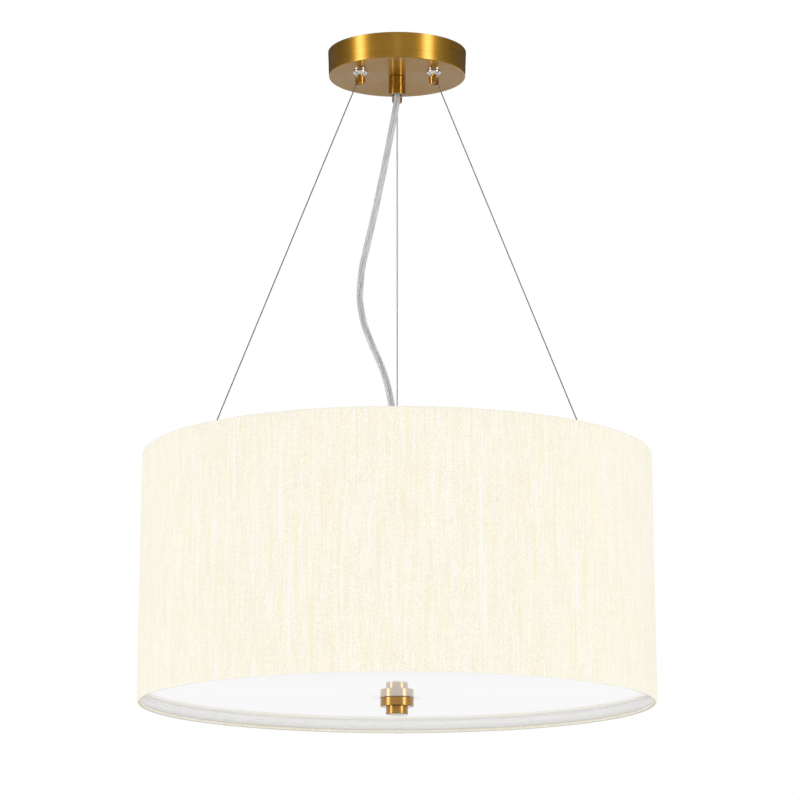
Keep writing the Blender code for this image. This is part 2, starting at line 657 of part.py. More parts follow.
def make_terminal_block():
    """Three-pole block under the strap, with lead holes in its end and screw wells below."""
    top = Z_BRACKET_UNDER - GAP
    low = Vector((BLOCK_OFFSET, -BLOCK_WIDTH / 2, top - BLOCK_HEIGHT))
    high = Vector((BLOCK_OFFSET + BLOCK_LENGTH, BLOCK_WIDTH / 2, top))
    block = piece("terminal_block", box_mesh("terminal_block", low, high), WHITE_PLASTIC)
    soften(block, BLOCK_BEVEL, 1)
    hole = cylinder_mesh("lead_hole", LEAD_RADIUS + GAP, -OVERRUN, BLOCK_HOLE_DEPTH, SCREW_FACETS)
    well = cylinder_mesh("screw_well", BLOCK_WELL_RADIUS, -OVERRUN, BLOCK_WELL_DEPTH, SCREW_FACETS)
    for name, sign in LEAD_PLACES.items():
        across = sign * LEAD_SPREAD
        mouth = (low.x, across, lead_height())
        cut(block, cutter("lead_hole_" + name, hole, mouth, (0, QUARTER_TURN, 0)))
        cut(block, cutter("screw_well_" + name, well, ((low.x + high.x) / 2, across, low.z)))


def lead_height():
    """Height at which the leads enter the terminal block."""
    return Z_BRACKET_UNDER - GAP - BLOCK_HEIGHT / 2


def make_cord_tail():
    """The sheathed end of the cord in the grip, and the three leads from it to the block."""
    top = Z_GRIP_STEM + GAP
    tail = cylinder_mesh("cord_tail", CORD_RADIUS, Z_CORD_START + GAP, top, SMALL_FACETS)
    piece("cord_tail", tail, CLEAR_CORD)
    reach = CORD_RADIUS - LEAD_RADIUS
    start, end = top + GAP, BLOCK_OFFSET + LEAD_INSERT
    height = lead_height()
    for name, sign in LEAD_PLACES.items():
        turn = math.radians(120) * sign
        x, y = -reach * math.cos(turn), reach * math.sin(turn)
        across = sign * LEAD_SPREAD
        route = [
            (x, y, start),
            (x, y, start + LEAD_RADIUS),
            ((x + CORD_RADIUS) / 2, (y + across) / 2, (start + height) / 2),
            (GRIP_STEM_RADIUS + LEAD_RADIUS, across, height),
            (BLOCK_OFFSET - LEAD_RADIUS, across, height),
            (end, across, height),
        ]
        mesh = tube_mesh("lead", smooth_route(route, LEAD_RADIUS * 2), LEAD_RADIUS)
        piece("lead_" + name, mesh, LEAD_FINISHES[name])


def make_cord():
    """The free stretch of the power cord, from the grip's mouth to the gland on the hub."""
    above, below = (0, 0, Z_CORD_START), (0, 0, Z_CORD_END)
    leaving, entering = (0, 0, Z_GRIP_BOTTOM), (0, 0, Z_GLAND_TOP)
    route = [above, leaving] + CORD_ROUTE + [entering, below]
    piece("power_cord", tube_mesh("power_cord", smooth_route(route, CORD_STEP), CORD_RADIUS, 3), CLEAR_CORD)


def make_wire(name, azimuth):
    """One suspension wire, straight from the gripper to the hole in its arm, and its stop."""
    start = outward(azimuth) * GRIPPER_CIRCLE + Vector((0, 0, Z_WIRE_START))
    end = outward(azimuth) * WIRE_FOOT_RADIUS + Vector((0, 0, Z_ARM_UNDER + WIRE_RADIUS))
    line = end - start
    mesh = cylinder_mesh("suspension_wire", WIRE_RADIUS, -line.length, 0, WIRE_FACETS)
    turn = line.to_track_quat("-Z", "Y").to_euler()
    piece("suspension_wire_" + name, mesh, STEEL, start, turn)
    top = Z_ARM_UNDER - GAP
    stop = cylinder_mesh("wire_stop", WIRE_STOP_RADIUS, top - WIRE_STOP_LENGTH, top, SCREW_FACETS)
    soften(piece("wire_stop_" + name, stop, STEEL, outward(azimuth) * WIRE_FOOT_RADIUS), WIRE_STOP_EDGE, 1)


def lip_inner_radius():
    """Least radius inside the shade's rolled top rim, at the flats of its facets."""
    return (SHADE_TOP_RADIUS - 2 * HEM_RADIUS) * math.cos(math.pi / SHADE_FACETS)


def make_arm(name, azimuth):
    """Flat bar from the hub to the shade's top ring, with a tongue that keeps the rim centred."""
    tip = SHADE_TOP_RADIUS - HEM_RADIUS
    tongue = lip_inner_radius() - GAP
    outline = [
        (-ARM_INNER_RADIUS, -ARM_THICK), (-tip, -ARM_THICK), (-tip, 0),
        (-tongue, 0), (-tongue, TONGUE_RISE), (TONGUE_THICK - tongue, TONGUE_RISE),
        (TONGUE_THICK - tongue, 0), (-ARM_INNER_RADIUS, 0),
    ]
    mesh = flat_mesh("arm", [outline], ARM_WIDTH)
    mesh.transform(Matrix.Rotation(QUARTER_TURN, 4, "Z") @ Matrix.Rotation(QUARTER_TURN, 4, "X"))
    arm = piece("arm_" + name, mesh, WHITE_METAL, (0, 0, Z_ARM_TOP), facing(azimuth))
    low, high = -ARM_THICK - OVERRUN, OVERRUN
    slope = (WIRE_FOOT_RADIUS - GRIPPER_CIRCLE) / (Z_WIRE_START - Z_ARM_UNDER)
    wire_at = WIRE_FOOT_RADIUS - slope * ARM_THICK / 2
    screw_hole = ARM_SCREW_RADIUS + GAP
    holes = (("wire_hole_", WIRE_HOLE_RADIUS, wire_at), ("arm_hole_", screw_hole, ARM_SCREW_CIRCLE))
    for label, radius, distance in holes:
        place = outward(azimuth) * distance + Vector((0, 0, Z_ARM_TOP))
        cut(arm, cutter(label + name, cylinder_mesh("arm_hole", radius, low, high, SCREW_FACETS), place))


def make_arm_screw(name, azimuth):
    """Pan-head screw through the hub plate and the arm into the hub's top."""
    head = Z_PLATE_TOP + GAP
    profile = [
        (0, head + ARM_SCREW_HEAD),
        (ARM_SCREW_HEAD_RADIUS / 2, head + ARM_SCREW_HEAD),
        (ARM_SCREW_HEAD_RADIUS, head + ARM_SCREW_HEAD / 2),
        (ARM_SCREW_HEAD_RADIUS, head),
        (ARM_SCREW_RADIUS, head),
        (ARM_SCREW_RADIUS, head - ARM_SCREW_LENGTH),
        (0, head - ARM_SCREW_LENGTH),
    ]
    mesh = turned_mesh("arm_screw", profile, SCREW_FACETS)
    piece("arm_screw_" + name, mesh, STEEL, outward(azimuth) * ARM_SCREW_CIRCLE)


def screw_circle(radius):
    """Hole outlines of the three arm screws."""
    centres = [outward(azimuth).xy * ARM_SCREW_CIRCLE for azimuth in ARM_PLACES.values()]
    return [circle(radius, centre, SCREW_FACETS) for centre in centres]


def make_hub():
    """Hub plate over the arms, the deep hub body under them, its base, and the cord's gland."""
    holes = [circle(GLAND_STEM_RADIUS + GAP)] + screw_circle(ARM_SCREW_RADIUS + GAP)
    plate = flat_mesh("hub_plate", [circle(HUB_PLATE_RADIUS, facets=LARGE_FACETS)] + holes, HUB_PLATE_THICK)
    piece("hub_plate", plate, WHITE_METAL, (0, 0, (Z_PLATE_UNDER + Z_PLATE_TOP) / 2))
    edge = (HUB_RADIUS - HUB_EDGE, Z_HUB_TOP - HUB_EDGE)
    ceiling = Z_HUB_TOP - HUB_WALL
    passage = GLAND_STEM_RADIUS + GAP
    shell = [(passage, Z_HUB_TOP)] + arc(edge, HUB_EDGE, 90, 0) + [(HUB_RADIUS, Z_HUB_FOOT)]
    shell.append((HUB_RADIUS - HUB_WALL, Z_HUB_FOOT))
    shell += arc(edge, HUB_EDGE - HUB_WALL, 0, 90, 1) + [(passage, ceiling)]
    hub = piece("hub_body", turned_mesh("hub_body", shell, LARGE_FACETS, closed=True), WHITE_METAL)
    low, high = ceiling - OVERRUN, Z_HUB_TOP + OVERRUN
    screw_hole = cylinder_mesh("hub_screw_hole", ARM_SCREW_RADIUS + GAP, low, high, SCREW_FACETS)
    for name, azimuth in ARM_PLACES.items():
        cut(hub, cutter("hub_screw_hole_" + name, screw_hole, outward(azimuth) * ARM_SCREW_CIRCLE))
    low, high = HUB_RADIUS - HUB_WALL - OVERRUN, HUB_RADIUS + OVERRUN
    nipple = cylinder_mesh("nipple_hole", HOLDER_NIPPLE_RADIUS + THREAD_CLEARANCE, low, high)
    for name, azimuth in HOLDER_PLACES.items():
        cut(hub, cutter("nipple_hole_" + name, nipple, (0, 0, Z_HOLDER_AXIS), laid_out(azimuth)))
    base = [circle(HUB_RADIUS, facets=LARGE_FACETS), circle(STEM_RADIUS + THREAD_CLEARANCE)]
    lid = flat_mesh("hub_base", base, HUB_BASE_THICK)
    piece("hub_base", lid, WHITE_METAL, (0, 0, (Z_BASE_TOP + Z_BASE_UNDER) / 2))
    bore = CORD_RADIUS + GAP
    gland = [
        (GLAND_TOP_RADIUS, Z_GLAND_TOP),
        (GLAND_STEM_RADIUS + GLAND_FLANGE / 2, Z_GLAND_FOOT + GLAND_FLANGE),
        (GLAND_RADIUS, Z_GLAND_FOOT + GLAND_FLANGE),
        (GLAND_RADIUS, Z_GLAND_FOOT),
        (GLAND_STEM_RADIUS, Z_GLAND_FOOT),
        (GLAND_STEM_RADIUS, Z_PLATE_UNDER),
        (bore, Z_PLATE_UNDER),
        (bore, Z_GLAND_TOP),
    ]
    piece("cord_gland", turned_mesh("cord_gland", gland, SMALL_FACETS, closed=True), WHITE_PLASTIC)


def globe_line(foot, inset):
    """Profile of a bulb's globe from its foot to its tip, moved in by the wall for its inside."""
    neck_radius, radius = GLOBE_NECK_RADIUS - inset, GLOBE_RADIUS - inset
    neck_top = foot + GLOBE_NECK_LENGTH
    centre = foot + GLOBE_LENGTH - GLOBE_RADIUS
    rise = np.linspace(0, 1, GLOBE_NECK_STEPS, endpoint=False)
    swell = neck_radius + (radius - neck_radius) * np.sin(rise * math.pi / 2) ** 2
    neck = list(zip(swell, neck_top + rise * (centre - neck_top)))
    return [(neck_radius, foot)] + neck + arc((0, centre), radius, 0, 90, GLOBE_DOME_STEPS)


def make_lampholder(name, azimuth):
    """Lampholder lying out from the hub, turned about local +Z, with the lamp's cap and globe."""
    place, turn = (0, 0, Z_HOLDER_AXIS), laid_out(azimuth)
    back = HUB_RADIUS + GAP
    mouth = back + HOLDER_LENGTH
    skirt = mouth - HOLDER_SKIRT_LENGTH
    bore, floor = BULB_CAP_RADIUS + BULB_RUNNING_GAP, mouth - HOLDER_BORE_DEPTH
    profile = [
        (0, floor),
        (bore, floor),
        (bore, mouth),
        (HOLDER_RADIUS - HOLDER_EDGE, mouth),
        (HOLDER_RADIUS, mouth - HOLDER_EDGE),
        (HOLDER_RADIUS, skirt),
        (HOLDER_RADIUS - HOLDER_SKIRT_STEP, skirt),
        (HOLDER_BACK_RADIUS, back + HOLDER_EDGE),
        (HOLDER_BACK_RADIUS - HOLDER_EDGE, back),
        (HOLDER_NIPPLE_RADIUS, back),
        (HOLDER_NIPPLE_RADIUS, back - HOLDER_NIPPLE_LENGTH),
        (0, back - HOLDER_NIPPLE_LENGTH),
    ]
    holder = turned_mesh("lampholder", profile, SMALL_FACETS)
    piece("lampholder_" + name, holder, WHITE_PLASTIC, place, turn)
    start = mouth - BULB_CAP_LENGTH
    inner = BULB_CAP_RADIUS - BULB_CAP_WALL
    cap = [
        (0, start + BULB_CAP_TIP),
        (inner, start + BULB_CAP_TIP + BULB_CAP_WALL),
        (inner, mouth),
        (BULB_CAP_RADIUS, mouth),
        (BULB_CAP_RADIUS, start + BULB_CAP_TIP),
        (BULB_CAP_TIP_RADIUS, start),
        (0, start),
    ]
    piece("bulb_cap_" + name, turned_mesh("bulb_cap", cap, SMALL_FACETS), STEEL, place, turn)
    foot = mouth + GAP
    globe = globe_line(foot, 0)[::-1] + globe_line(foot, GLOBE_WALL)
    piece("bulb_globe_" + name, turned_mesh("bulb_globe", globe, SMALL_FACETS), OPAL, place, turn)


def make_shade():
    """Fabric drum turned in at both rims round a wire ring, and the two rings."""
    top = (SHADE_TOP_RADIUS - HEM_RADIUS, Z_SHADE_TOP - HEM_RADIUS)
    bottom = (SHADE_BOTTOM_RADIUS - HEM_RADIUS, Z_SHADE_BOTTOM + HEM_RADIUS)
    lip = HEM_RADIUS + HEM_LIP
    line = [(top[0] - HEM_RADIUS, top[1] - lip)] + arc(top, HEM_RADIUS, 180, 0, HEM_STEPS)
    line += arc(bottom, HEM_RADIUS, 0, -180, HEM_STEPS) + [(bottom[0] - HEM_RADIUS, bottom[1] + lip)]
    hollow = HEM_RADIUS - FABRIC_THICK
    back = [(bottom[0] - hollow, bottom[1] + lip)] + arc(bottom, hollow, -180, 0, HEM_STEPS)
    back += arc(top, hollow, 0, 180, HEM_STEPS) + [(top[0] - hollow, top[1] - lip)]
    wall = turned_mesh("shade_fabric", line + back, SHADE_FACETS, closed=True)
    piece("shade_fabric", wall, CREAM_FABRIC)
    for name, centre in (("shade_top_ring", top), ("shade_bottom_ring", bottom)):
        section = arc(centre, RING_RADIUS, 0, -360, RING_FACETS)[:-1]
        piece(name, turned_mesh(name, section, SHADE_FACETS, closed=True), STEEL)


def make_stem():
    """Threaded stem from the hub's base down into the finial, its nuts and the diffuser's stop."""
    top = Z_BASE_TOP + STEM_RISE
    stem = piece("stem_rod", cylinder_mesh("stem_rod", STEM_RADIUS, Z_STEM_TIP, top, SMALL_FACETS), STEEL)
    soften(stem, THREAD_CLEARANCE, 1)
    bore = STEM_RADIUS + THREAD_CLEARANCE
    nut = nut_mesh("stem_nut", STEM_NUT_RADIUS, bore, STEM_NUT_THICK)
    washer_seat = Z_DIFFUSER_TOP + GAP
    seats = {
        "stem_nut_upper": Z_BASE_TOP + GAP,
        "stem_nut_lower": Z_BASE_UNDER - GAP - STEM_NUT_THICK,
        "diffuser_stop_nut": washer_seat + STOP_WASHER_THICK + GAP,
    }
    for name, height in seats.items():
        piece(name, nut.copy(), STEEL, (0, 0, height))
    washer = washer_mesh("diffuser_stop_washer", STOP_WASHER_RADIUS, bore, STOP_WASHER_THICK)
    piece("diffuser_stop_washer", washer, STEEL, (0, 0, washer_seat))


def make_diffuser():
    """Opal disc, dished by a couple of millimetres, with a hole for the stem."""
    hole = STEM_RADIUS + THREAD_CLEARANCE
    radii = np.linspace(DIFFUSER_RADIUS, STOP_WASHER_RADIUS, DIFFUSER_DISH_STEPS)
    rise = DIFFUSER_DISH * ((radii - STOP_WASHER_RADIUS) / (DIFFUSER_RADIUS - STOP_WASHER_RADIUS)) ** 2
    under = list(zip(radii, Z_DIFFUSER_UNDER + rise)) + [(hole, Z_DIFFUSER_UNDER)]
    over = [(r, z + DIFFUSER_THICK) for r, z in reversed(under)]
    piece("diffuser", turned_mesh("diffuser", under + over, SHADE_FACETS, closed=True), OPAL)


def make_finial():
    """Two-step knob with a blind threaded bore, which clamps the diffuser."""
    middle = Z_FINIAL_TOP - FINIAL_DISC
    foot = middle - FINIAL_KNOB
    bore = STEM_RADIUS + THREAD_CLEARANCE
    e = FINIAL_EDGE
    profile = [
        (0, Z_FINIAL_BORE),
        (bore, Z_FINIAL_BORE),
        (bore, Z_FINIAL_TOP),
        (FINIAL_RADIUS - e, Z_FINIAL_TOP),
        (FINIAL_RADIUS, Z_FINIAL_TOP - e),
    ]
    profile += arc((FINIAL_RADIUS - e, middle + e), e, 0, -90, 2)
    profile += [(FINIAL_KNOB_RADIUS, middle)]
    profile += arc((FINIAL_KNOB_RADIUS - e, foot + e), e, 0, -90, 2) + [(0, foot)]
    piece("finial", turned_mesh("finial", profile, LARGE_FACETS), SATIN_BRASS)


def build():
    """Make every piece, from the ceiling down."""
    make_bracket()
    make_canopy()
    make_canopy_screws()
    make_cord_grip()
    make_terminal_block()
    make_cord_tail()
    make_cord()
    make_hub()
    for name, azimuth in ARM_PLACES.items():
        make_gripper(name, azimuth)
        make_wire(name, azimuth)
        make_arm(name, azimuth)
        make_arm_screw(name, azimuth)
    for name, azimuth in HOLDER_PLACES.items():
        make_lampholder(name, azimuth)
    make_shade()
    make_stem()
    make_diffuser()
    make_finial()


build()
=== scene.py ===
import math

import bmesh
import bpy
import numpy as np
from mathutils import Euler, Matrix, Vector


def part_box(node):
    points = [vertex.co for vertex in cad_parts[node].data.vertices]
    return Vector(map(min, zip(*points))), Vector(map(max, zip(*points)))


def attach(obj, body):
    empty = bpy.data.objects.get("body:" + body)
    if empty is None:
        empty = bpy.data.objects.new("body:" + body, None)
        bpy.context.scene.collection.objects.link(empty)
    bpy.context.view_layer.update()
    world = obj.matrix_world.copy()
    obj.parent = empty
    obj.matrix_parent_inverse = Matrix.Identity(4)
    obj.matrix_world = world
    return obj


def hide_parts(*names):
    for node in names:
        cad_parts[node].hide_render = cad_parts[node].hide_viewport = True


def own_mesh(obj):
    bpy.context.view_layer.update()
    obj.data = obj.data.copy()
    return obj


# Drum pendant light. Metres, +Z up, the origin is under the ceiling and the front faces -Y.
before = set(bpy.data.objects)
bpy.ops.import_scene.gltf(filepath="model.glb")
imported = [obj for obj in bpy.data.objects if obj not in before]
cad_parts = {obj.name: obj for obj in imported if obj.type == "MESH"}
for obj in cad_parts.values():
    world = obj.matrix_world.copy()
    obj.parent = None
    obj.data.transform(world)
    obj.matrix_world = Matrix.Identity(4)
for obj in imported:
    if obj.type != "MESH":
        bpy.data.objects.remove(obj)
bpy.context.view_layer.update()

# Places round the lamp, in degrees from the front towards +X
ARM_PLACES = {"left": -60.0, "right": 60.0, "rear": 180.0}
HOLDER_PLACES = {"front": 0.0, "right": 120.0, "left": -120.0}
GRIPPER_CIRCLE = 0.0424
WIRE_FOOT_RADIUS = 0.208
ARM_SCREW_CIRCLE = 0.026

# Sizes and heights that more than one piece needs
CANOPY_RADIUS = 0.0692
CANOPY_SCREW_HEIGHT = -0.009
WIRE_TOP, WIRE_END = -0.0301, -0.4197
HOLDER_HEIGHT = -0.4606
SHADE_TOP_RADIUS, SHADE_FOOT_RADIUS = 0.249, 0.251

# Where the two tall light strips stand, seen from above, the height of their middle, and the floor
STRIPS = ((-2.685, -1.339), (2.364, -1.847))
STRIP_HEIGHT = -0.35
FLOOR_HEIGHT, FLOOR_RADIUS = -3.2, 8.7

# Columns round each kind of turned piece
ROUND = 96
SMALL_ROUND = 48
CUTTER_ROUND = 32
SHADE_ROUND = 1600
LINER_ROUND = 192

# The cord's route as in the part's source: grip, free stretch, gland
CORD_ROUTE = [
    (0, 0, -0.0426), (0, 0, -0.0446), (-0.0003, 0, -0.052),
    (-0.0028, 0.001, -0.0657), (-0.0077, 0.003, -0.0916), (-0.0126, 0.005, -0.1174),
    (-0.018, 0.007, -0.1432), (-0.0234, 0.0085, -0.1692), (-0.0307, 0.009, -0.2016),
    (-0.0346, 0.0085, -0.2201), (-0.0369, 0.0065, -0.2465), (-0.0359, 0.0045, -0.2621),
    (-0.0322, 0.002, -0.2802), (-0.0258, -0.001, -0.2983), (-0.0184, -0.003, -0.3161),
    (-0.0125, -0.004, -0.3314), (-0.0085, -0.004, -0.3463), (-0.0052, -0.003, -0.3623),
    (-0.0024, -0.0015, -0.379), (-0.0005, -0.0004, -0.394), (0, 0, -0.4042),
    (0, 0, -0.4102),
]
CORD_RADIUS = 0.00325
CORD_LENGTH = 0.378
WIRE_RADIUS = 0.0006

# Where the cloth's foot fold turns under its ring and a painted shade darkens it, along the cloth from
# its inner top edge, and the length over which that painted shade comes and goes
PAINTED_SHADE_FOLD = (0.2519, 0.2545)
PAINTED_SHADE_FADE = 0.0008


class Field:
    """One socket of a node tree. +, -, *, / and ** on values add their Math nodes."""

    def __init__(self, graph, socket):
        self.graph = graph
        self.socket = socket

    __add__ = __radd__ = lambda self, other: self.graph.math("ADD", self, other)
    __mul__ = __rmul__ = lambda self, other: self.graph.math("MULTIPLY", self, other)
    __sub__ = lambda self, other: self.graph.math("SUBTRACT", self, other)
    __rsub__ = lambda self, other: self.graph.math("SUBTRACT", other, self)
    __truediv__ = lambda self, other: self.graph.math("DIVIDE", self, other)
    __pow__ = lambda self, other: self.graph.math("POWER", self, other)


class Graph:
    """The node tree of a material or a world, to which one method adds every node."""

    def __init__(self, owner):
        owner.use_nodes = True
        self.owner = owner
        self.tree = owner.node_tree
        self.tree.nodes.clear()

    def socket(self, sockets, key):
        """The live socket with this name, or at this place among the live ones."""
        live = [s for s in sockets if s.enabled]
        return live[key] if isinstance(key, int) else next(s for s in live if s.name == key)

    def node(self, kind, settings=(), inputs=(), out=0):
        """Add a node: its settings first, then the values or links of its sockets."""
        added = self.tree.nodes.new(kind)
        for key, value in dict(settings).items():
            setattr(added, key, value)
        pairs = inputs.items() if isinstance(inputs, dict) else enumerate(inputs)
        for key, value in pairs:
            socket = self.socket(added.inputs, key)
            if isinstance(value, Field):
                self.tree.links.new(value.socket, socket)
            elif socket.type == "RGBA":
                socket.default_value = (*value[:3], 1.0)
            else:
                socket.default_value = value
        return Field(self, self.socket(added.outputs, out)) if len(added.outputs) else None

    def math(self, operation, *values):
        return self.node("ShaderNodeMath", {"operation": operation}, values)

    def join(self, x, y, z):
        """A vector of three values."""
        return self.node("ShaderNodeCombineXYZ", (), (x, y, z))

    def split(self, vector):
        """The three values of a vector."""
        return [self.node("ShaderNodeSeparateXYZ", (), (vector,), out) for out in range(3)]

    def spot(self, kind="Object"):
        """The place on the piece, in this kind of coordinates."""
        return self.split(self.node("ShaderNodeTexCoord", (), (), kind))

    def rays(self, *kinds):
        """For each kind of ray, 1 where the shader is seen by that kind and 0 elsewhere."""
        return [self.node("ShaderNodeLightPath", (), (), kind) for kind in kinds]

    def lap(self):
        """The piece's UV map as a point on a ring and a height: turns become cosine and sine."""
        turns, along, _ = self.spot("UV")
        angle = turns * math.tau
        return self.math("COSINE", angle), self.math("SINE", angle), along

    def noise(self, x, y, z, detail=2.0, roughness=0.5):
        """Noise of the vector, from 0 to 1."""
        inputs = {"Vector": self.join(x, y, z), "Scale": 1.0, "Detail": detail, "Roughness": roughness}
        return self.node("ShaderNodeTexNoise", (), inputs)

    def step(self, value, low, high):
        """A smooth step from 0 at low to 1 at high."""
        inputs = {"Value": value, "From Min": low, "From Max": high}
        return self.node("ShaderNodeMapRange", {"interpolation_type": "SMOOTHSTEP"}, inputs)

    def mix(self, share, first, second):
        """The first colour, going over to the second as share goes from 0 to 1."""
        inputs = {"Factor": share, "A": first, "B": second}
        return self.node("ShaderNodeMix", {"data_type": "RGBA"}, inputs)

    def bump(self, height, distance):
        """Normals of a relief of the given height in metres where height is 1."""
        return self.node("ShaderNodeBump", (), {"Height": height, "Distance": distance})

    def surfaced(self, sockets):
        """The material, closed with one shader that takes the given sockets."""
        shader = self.node("ShaderNodeBsdfPrincipled", (), sockets)
        self.node("ShaderNodeOutputMaterial", (), {"Surface": shader})
        return self.owner


def finish(name):
    """The graph of a new material."""
    return Graph(bpy.data.materials.new(name))


def turned_metal(name, dark, light, roughness, streak, anisotropy=0.0, lacquer=0.0, relief=0.000002):
    """Metal turned on a lathe: fine lines run round the piece, so the noise is stretched round it and
    a highlight spreads across the lines. Lacquer is a clear coat over them."""
    g = finish(name)
    ring_x, ring_y, along = g.lap()
    fine = g.noise(ring_x * 0.7, ring_y * 0.7, along * 3300.0, 3.0)
    band = g.noise(ring_x * 1.5, ring_y * 1.5, along * 400.0)
    cloud = g.noise(ring_x * 3.0, ring_y * 3.0, along * 40.0)
    tone = g.step(fine * 0.5 + band * 0.3 + cloud * 0.2, 0.36, 0.64)
    return g.surfaced({
        "Base Color": g.mix(tone, dark, light),
        "Metallic": 1.0,
        "Roughness": roughness + (fine - 0.5) * streak + (cloud - 0.5) * (streak * 0.5),
        "Anisotropic": anisotropy,
        "Anisotropic Rotation": 0.25,
        "Coat Weight": lacquer,
        "Coat Roughness": 0.12,
        "Normal": g.bump(fine, relief),
    })


def plain_metal(name, dark, light, roughness):
    """Plated or drawn steel: a cloudy tone, fine scratches along X, and small specks."""
    grain = 420.0
    g = finish(name)
    x, y, z = g.spot()
    cloud = g.noise(x * 90.0, y * 90.0, z * 90.0, 4.0, 0.6)
    speck = g.noise(x * grain * 4.0, y * grain * 4.0, z * grain * 4.0)
    scratch = g.noise(x * grain, y * grain * 5.0, z * grain * 5.0)
    tone = g.step(cloud * 0.6 + speck * 0.4, 0.38, 0.62)
    return g.surfaced({
        "Base Color": g.mix(tone, dark, light),
        "Metallic": 1.0,
        "Roughness": roughness + (cloud - 0.5) * 0.25 + (scratch - 0.5) * 0.1,
        "Normal": g.bump(scratch * 0.5 + speck * 0.5, 0.00001),
    })


def moulded(name, dark, light, roughness, grain=1500.0, relief=0.00002, coat=0.0, shine=0.5):
    """Moulded plastic or powder paint: an even colour, a fine orange-peel skin and faint clouds."""
    g = finish(name)
    x, y, z = g.spot()
    skin = g.noise(x * grain, y * grain, z * grain, 2.0)
    cloud = g.noise(x * 35.0, y * 35.0, z * 35.0, 3.0)
    return g.surfaced({
        "Base Color": g.mix(g.step(cloud * 0.7 + skin * 0.3, 0.35, 0.65), dark, light),
        "Roughness": roughness + (cloud - 0.5) * 0.15,
        "Specular IOR Level": shine,
        "Coat Weight": coat,
        "Coat Roughness": 0.15,
        "Normal": g.bump(skin, relief),
    })


def slub_cloth():
    """Cream cloth: a crinkled face of fine upright threads, with thin yellow and pale slub lines.
    The foot fold under the ring gets a painted shade.
    """
    g = finish("slub_cloth")
    x, y, z = g.spot()
    fine, coarse = 1700.0, 480.0
    slub = g.node("ShaderNodeAttribute", {"attribute_name": "slub"}, (), "Fac")
    grain = g.noise(x * fine, y * fine, z * 800.0, 2.0, 0.6)
    thread = g.noise(x * fine, y * fine, z * 30.0, 1.0)
    line = g.noise(x * coarse, y * coarse, z * 13.0, 1.0)
    nub = g.noise(x * coarse, y * coarse, z * 260.0, 1.0)
    patch = g.noise(x * 60.0, y * 60.0, z * 60.0, 2.0)
    weave = g.step(grain, 0.32, 0.68) * 0.74 + g.step(thread, 0.32, 0.68) * 0.26
    tint = g.step(line, 0.36, 0.64) * 0.56 + g.step(nub, 0.36, 0.64) * 0.24
    tint = tint + g.step(patch, 0.34, 0.66) * 0.2
    body = g.mix(tint, (0.94, 0.88, 0.695), (0.96, 0.932, 0.845))
    shaded = g.node("ShaderNodeMix", {"data_type": "RGBA", "blend_type": "MULTIPLY"}, {
        "Factor": 1.0, "A": body, "B": g.mix(weave, (0.86, 0.86, 0.86), (1.12, 1.12, 1.12)),
    })
    lined = g.mix(g.step(slub, 0.15, 0.75) * 0.7, shaded, (0.915, 0.85, 0.6))
    ribbed = g.mix(g.step(slub * -1.0, 0.15, 0.75) * 0.7, lined, (0.97, 0.955, 0.9))
    _, _, along = g.lap()
    # Painted shade: the cloth's colour goes darker, towards (0.5, 0.48, 0.41), where the foot fold
    # turns under its ring
    painted_fold_shade = g.step(along, PAINTED_SHADE_FOLD[0], PAINTED_SHADE_FOLD[0] + PAINTED_SHADE_FADE) * g.step(along, PAINTED_SHADE_FOLD[1], PAINTED_SHADE_FOLD[1] - PAINTED_SHADE_FADE)
    relief = grain * 0.5 + thread * 0.35 + line * 0.15
    return g.surfaced({
        "Base Color": g.mix(painted_fold_shade * 0.85, ribbed, (0.5, 0.48, 0.41)),
        "Roughness": 0.9,
        "Specular IOR Level": 0.2,
        "Sheen Weight": 0.15,
        "Sheen Roughness": 0.5,
        "Normal": g.bump(relief, 0.00025),
    })


def opal_sheet(name, dark, light, roughness, coat):
    """Opal acrylic or glass: a milky even white under a hard gloss, barely wavy."""
    g = finish(name)
    x, y, z = g.spot()
    wave = g.noise(x * 9.0, y * 9.0, z * 9.0)
    milk = g.noise(x * 60.0, y * 60.0, z * 60.0, 3.0)
    return g.surfaced({
        "Base Color": g.mix(milk, dark, light),
        "Roughness": roughness + (milk - 0.5) * 0.02,
        "IOR": 1.49,
        "Coat Weight": coat,
        "Coat Roughness": 0.03,
        "Normal": g.bump(wave, 0.00002),
    })


def clear_sheath():
    """Clear soft plastic over the cores: see-through, with long cloudy streaks and a soft gloss."""
    g = finish("clear_sheath")
    ring_x, ring_y, along = g.lap()
    streak = g.noise(ring_x * 2.2, ring_y * 2.2, along * 16.0, 3.0, 0.6)
    haze = g.noise(ring_x * 6.0, ring_y * 6.0, along * 420.0, 2.0)
    return g.surfaced({
        "Base Color": g.mix(streak, (0.62, 0.61, 0.62), (0.9, 0.89, 0.9)),
        "Roughness": 0.28 + (haze - 0.5) * 0.2,
        "Alpha": 0.34 + g.step(streak, 0.35, 0.7) * 0.34,
        "Coat Weight": 0.6,
        "Coat Roughness": 0.2,
        "Normal": g.bump(haze, 0.00003),
    })


def cored(name, dark, light, metallic, roughness, lay):
    """Strands under a thin skin: stripes that wind along the core, worked out from its UV map."""
    g = finish(name)
    turns, along, _ = g.spot("UV")
    stripe = g.math("SINE", (turns + along * lay) * (math.tau * 7.0)) * 0.5 + 0.5
    ring_x, ring_y, length = g.lap()
    worn = g.noise(ring_x * 2.0, ring_y * 2.0, length * 90.0, 3.0)
    return g.surfaced({
        "Base Color": g.mix(stripe * 0.6 + worn * 0.4, dark, light),
        "Metallic": metallic,
        "Roughness": roughness + (worn - 0.5) * 0.2,
        "Normal": g.bump(stripe, 0.00006),
    })


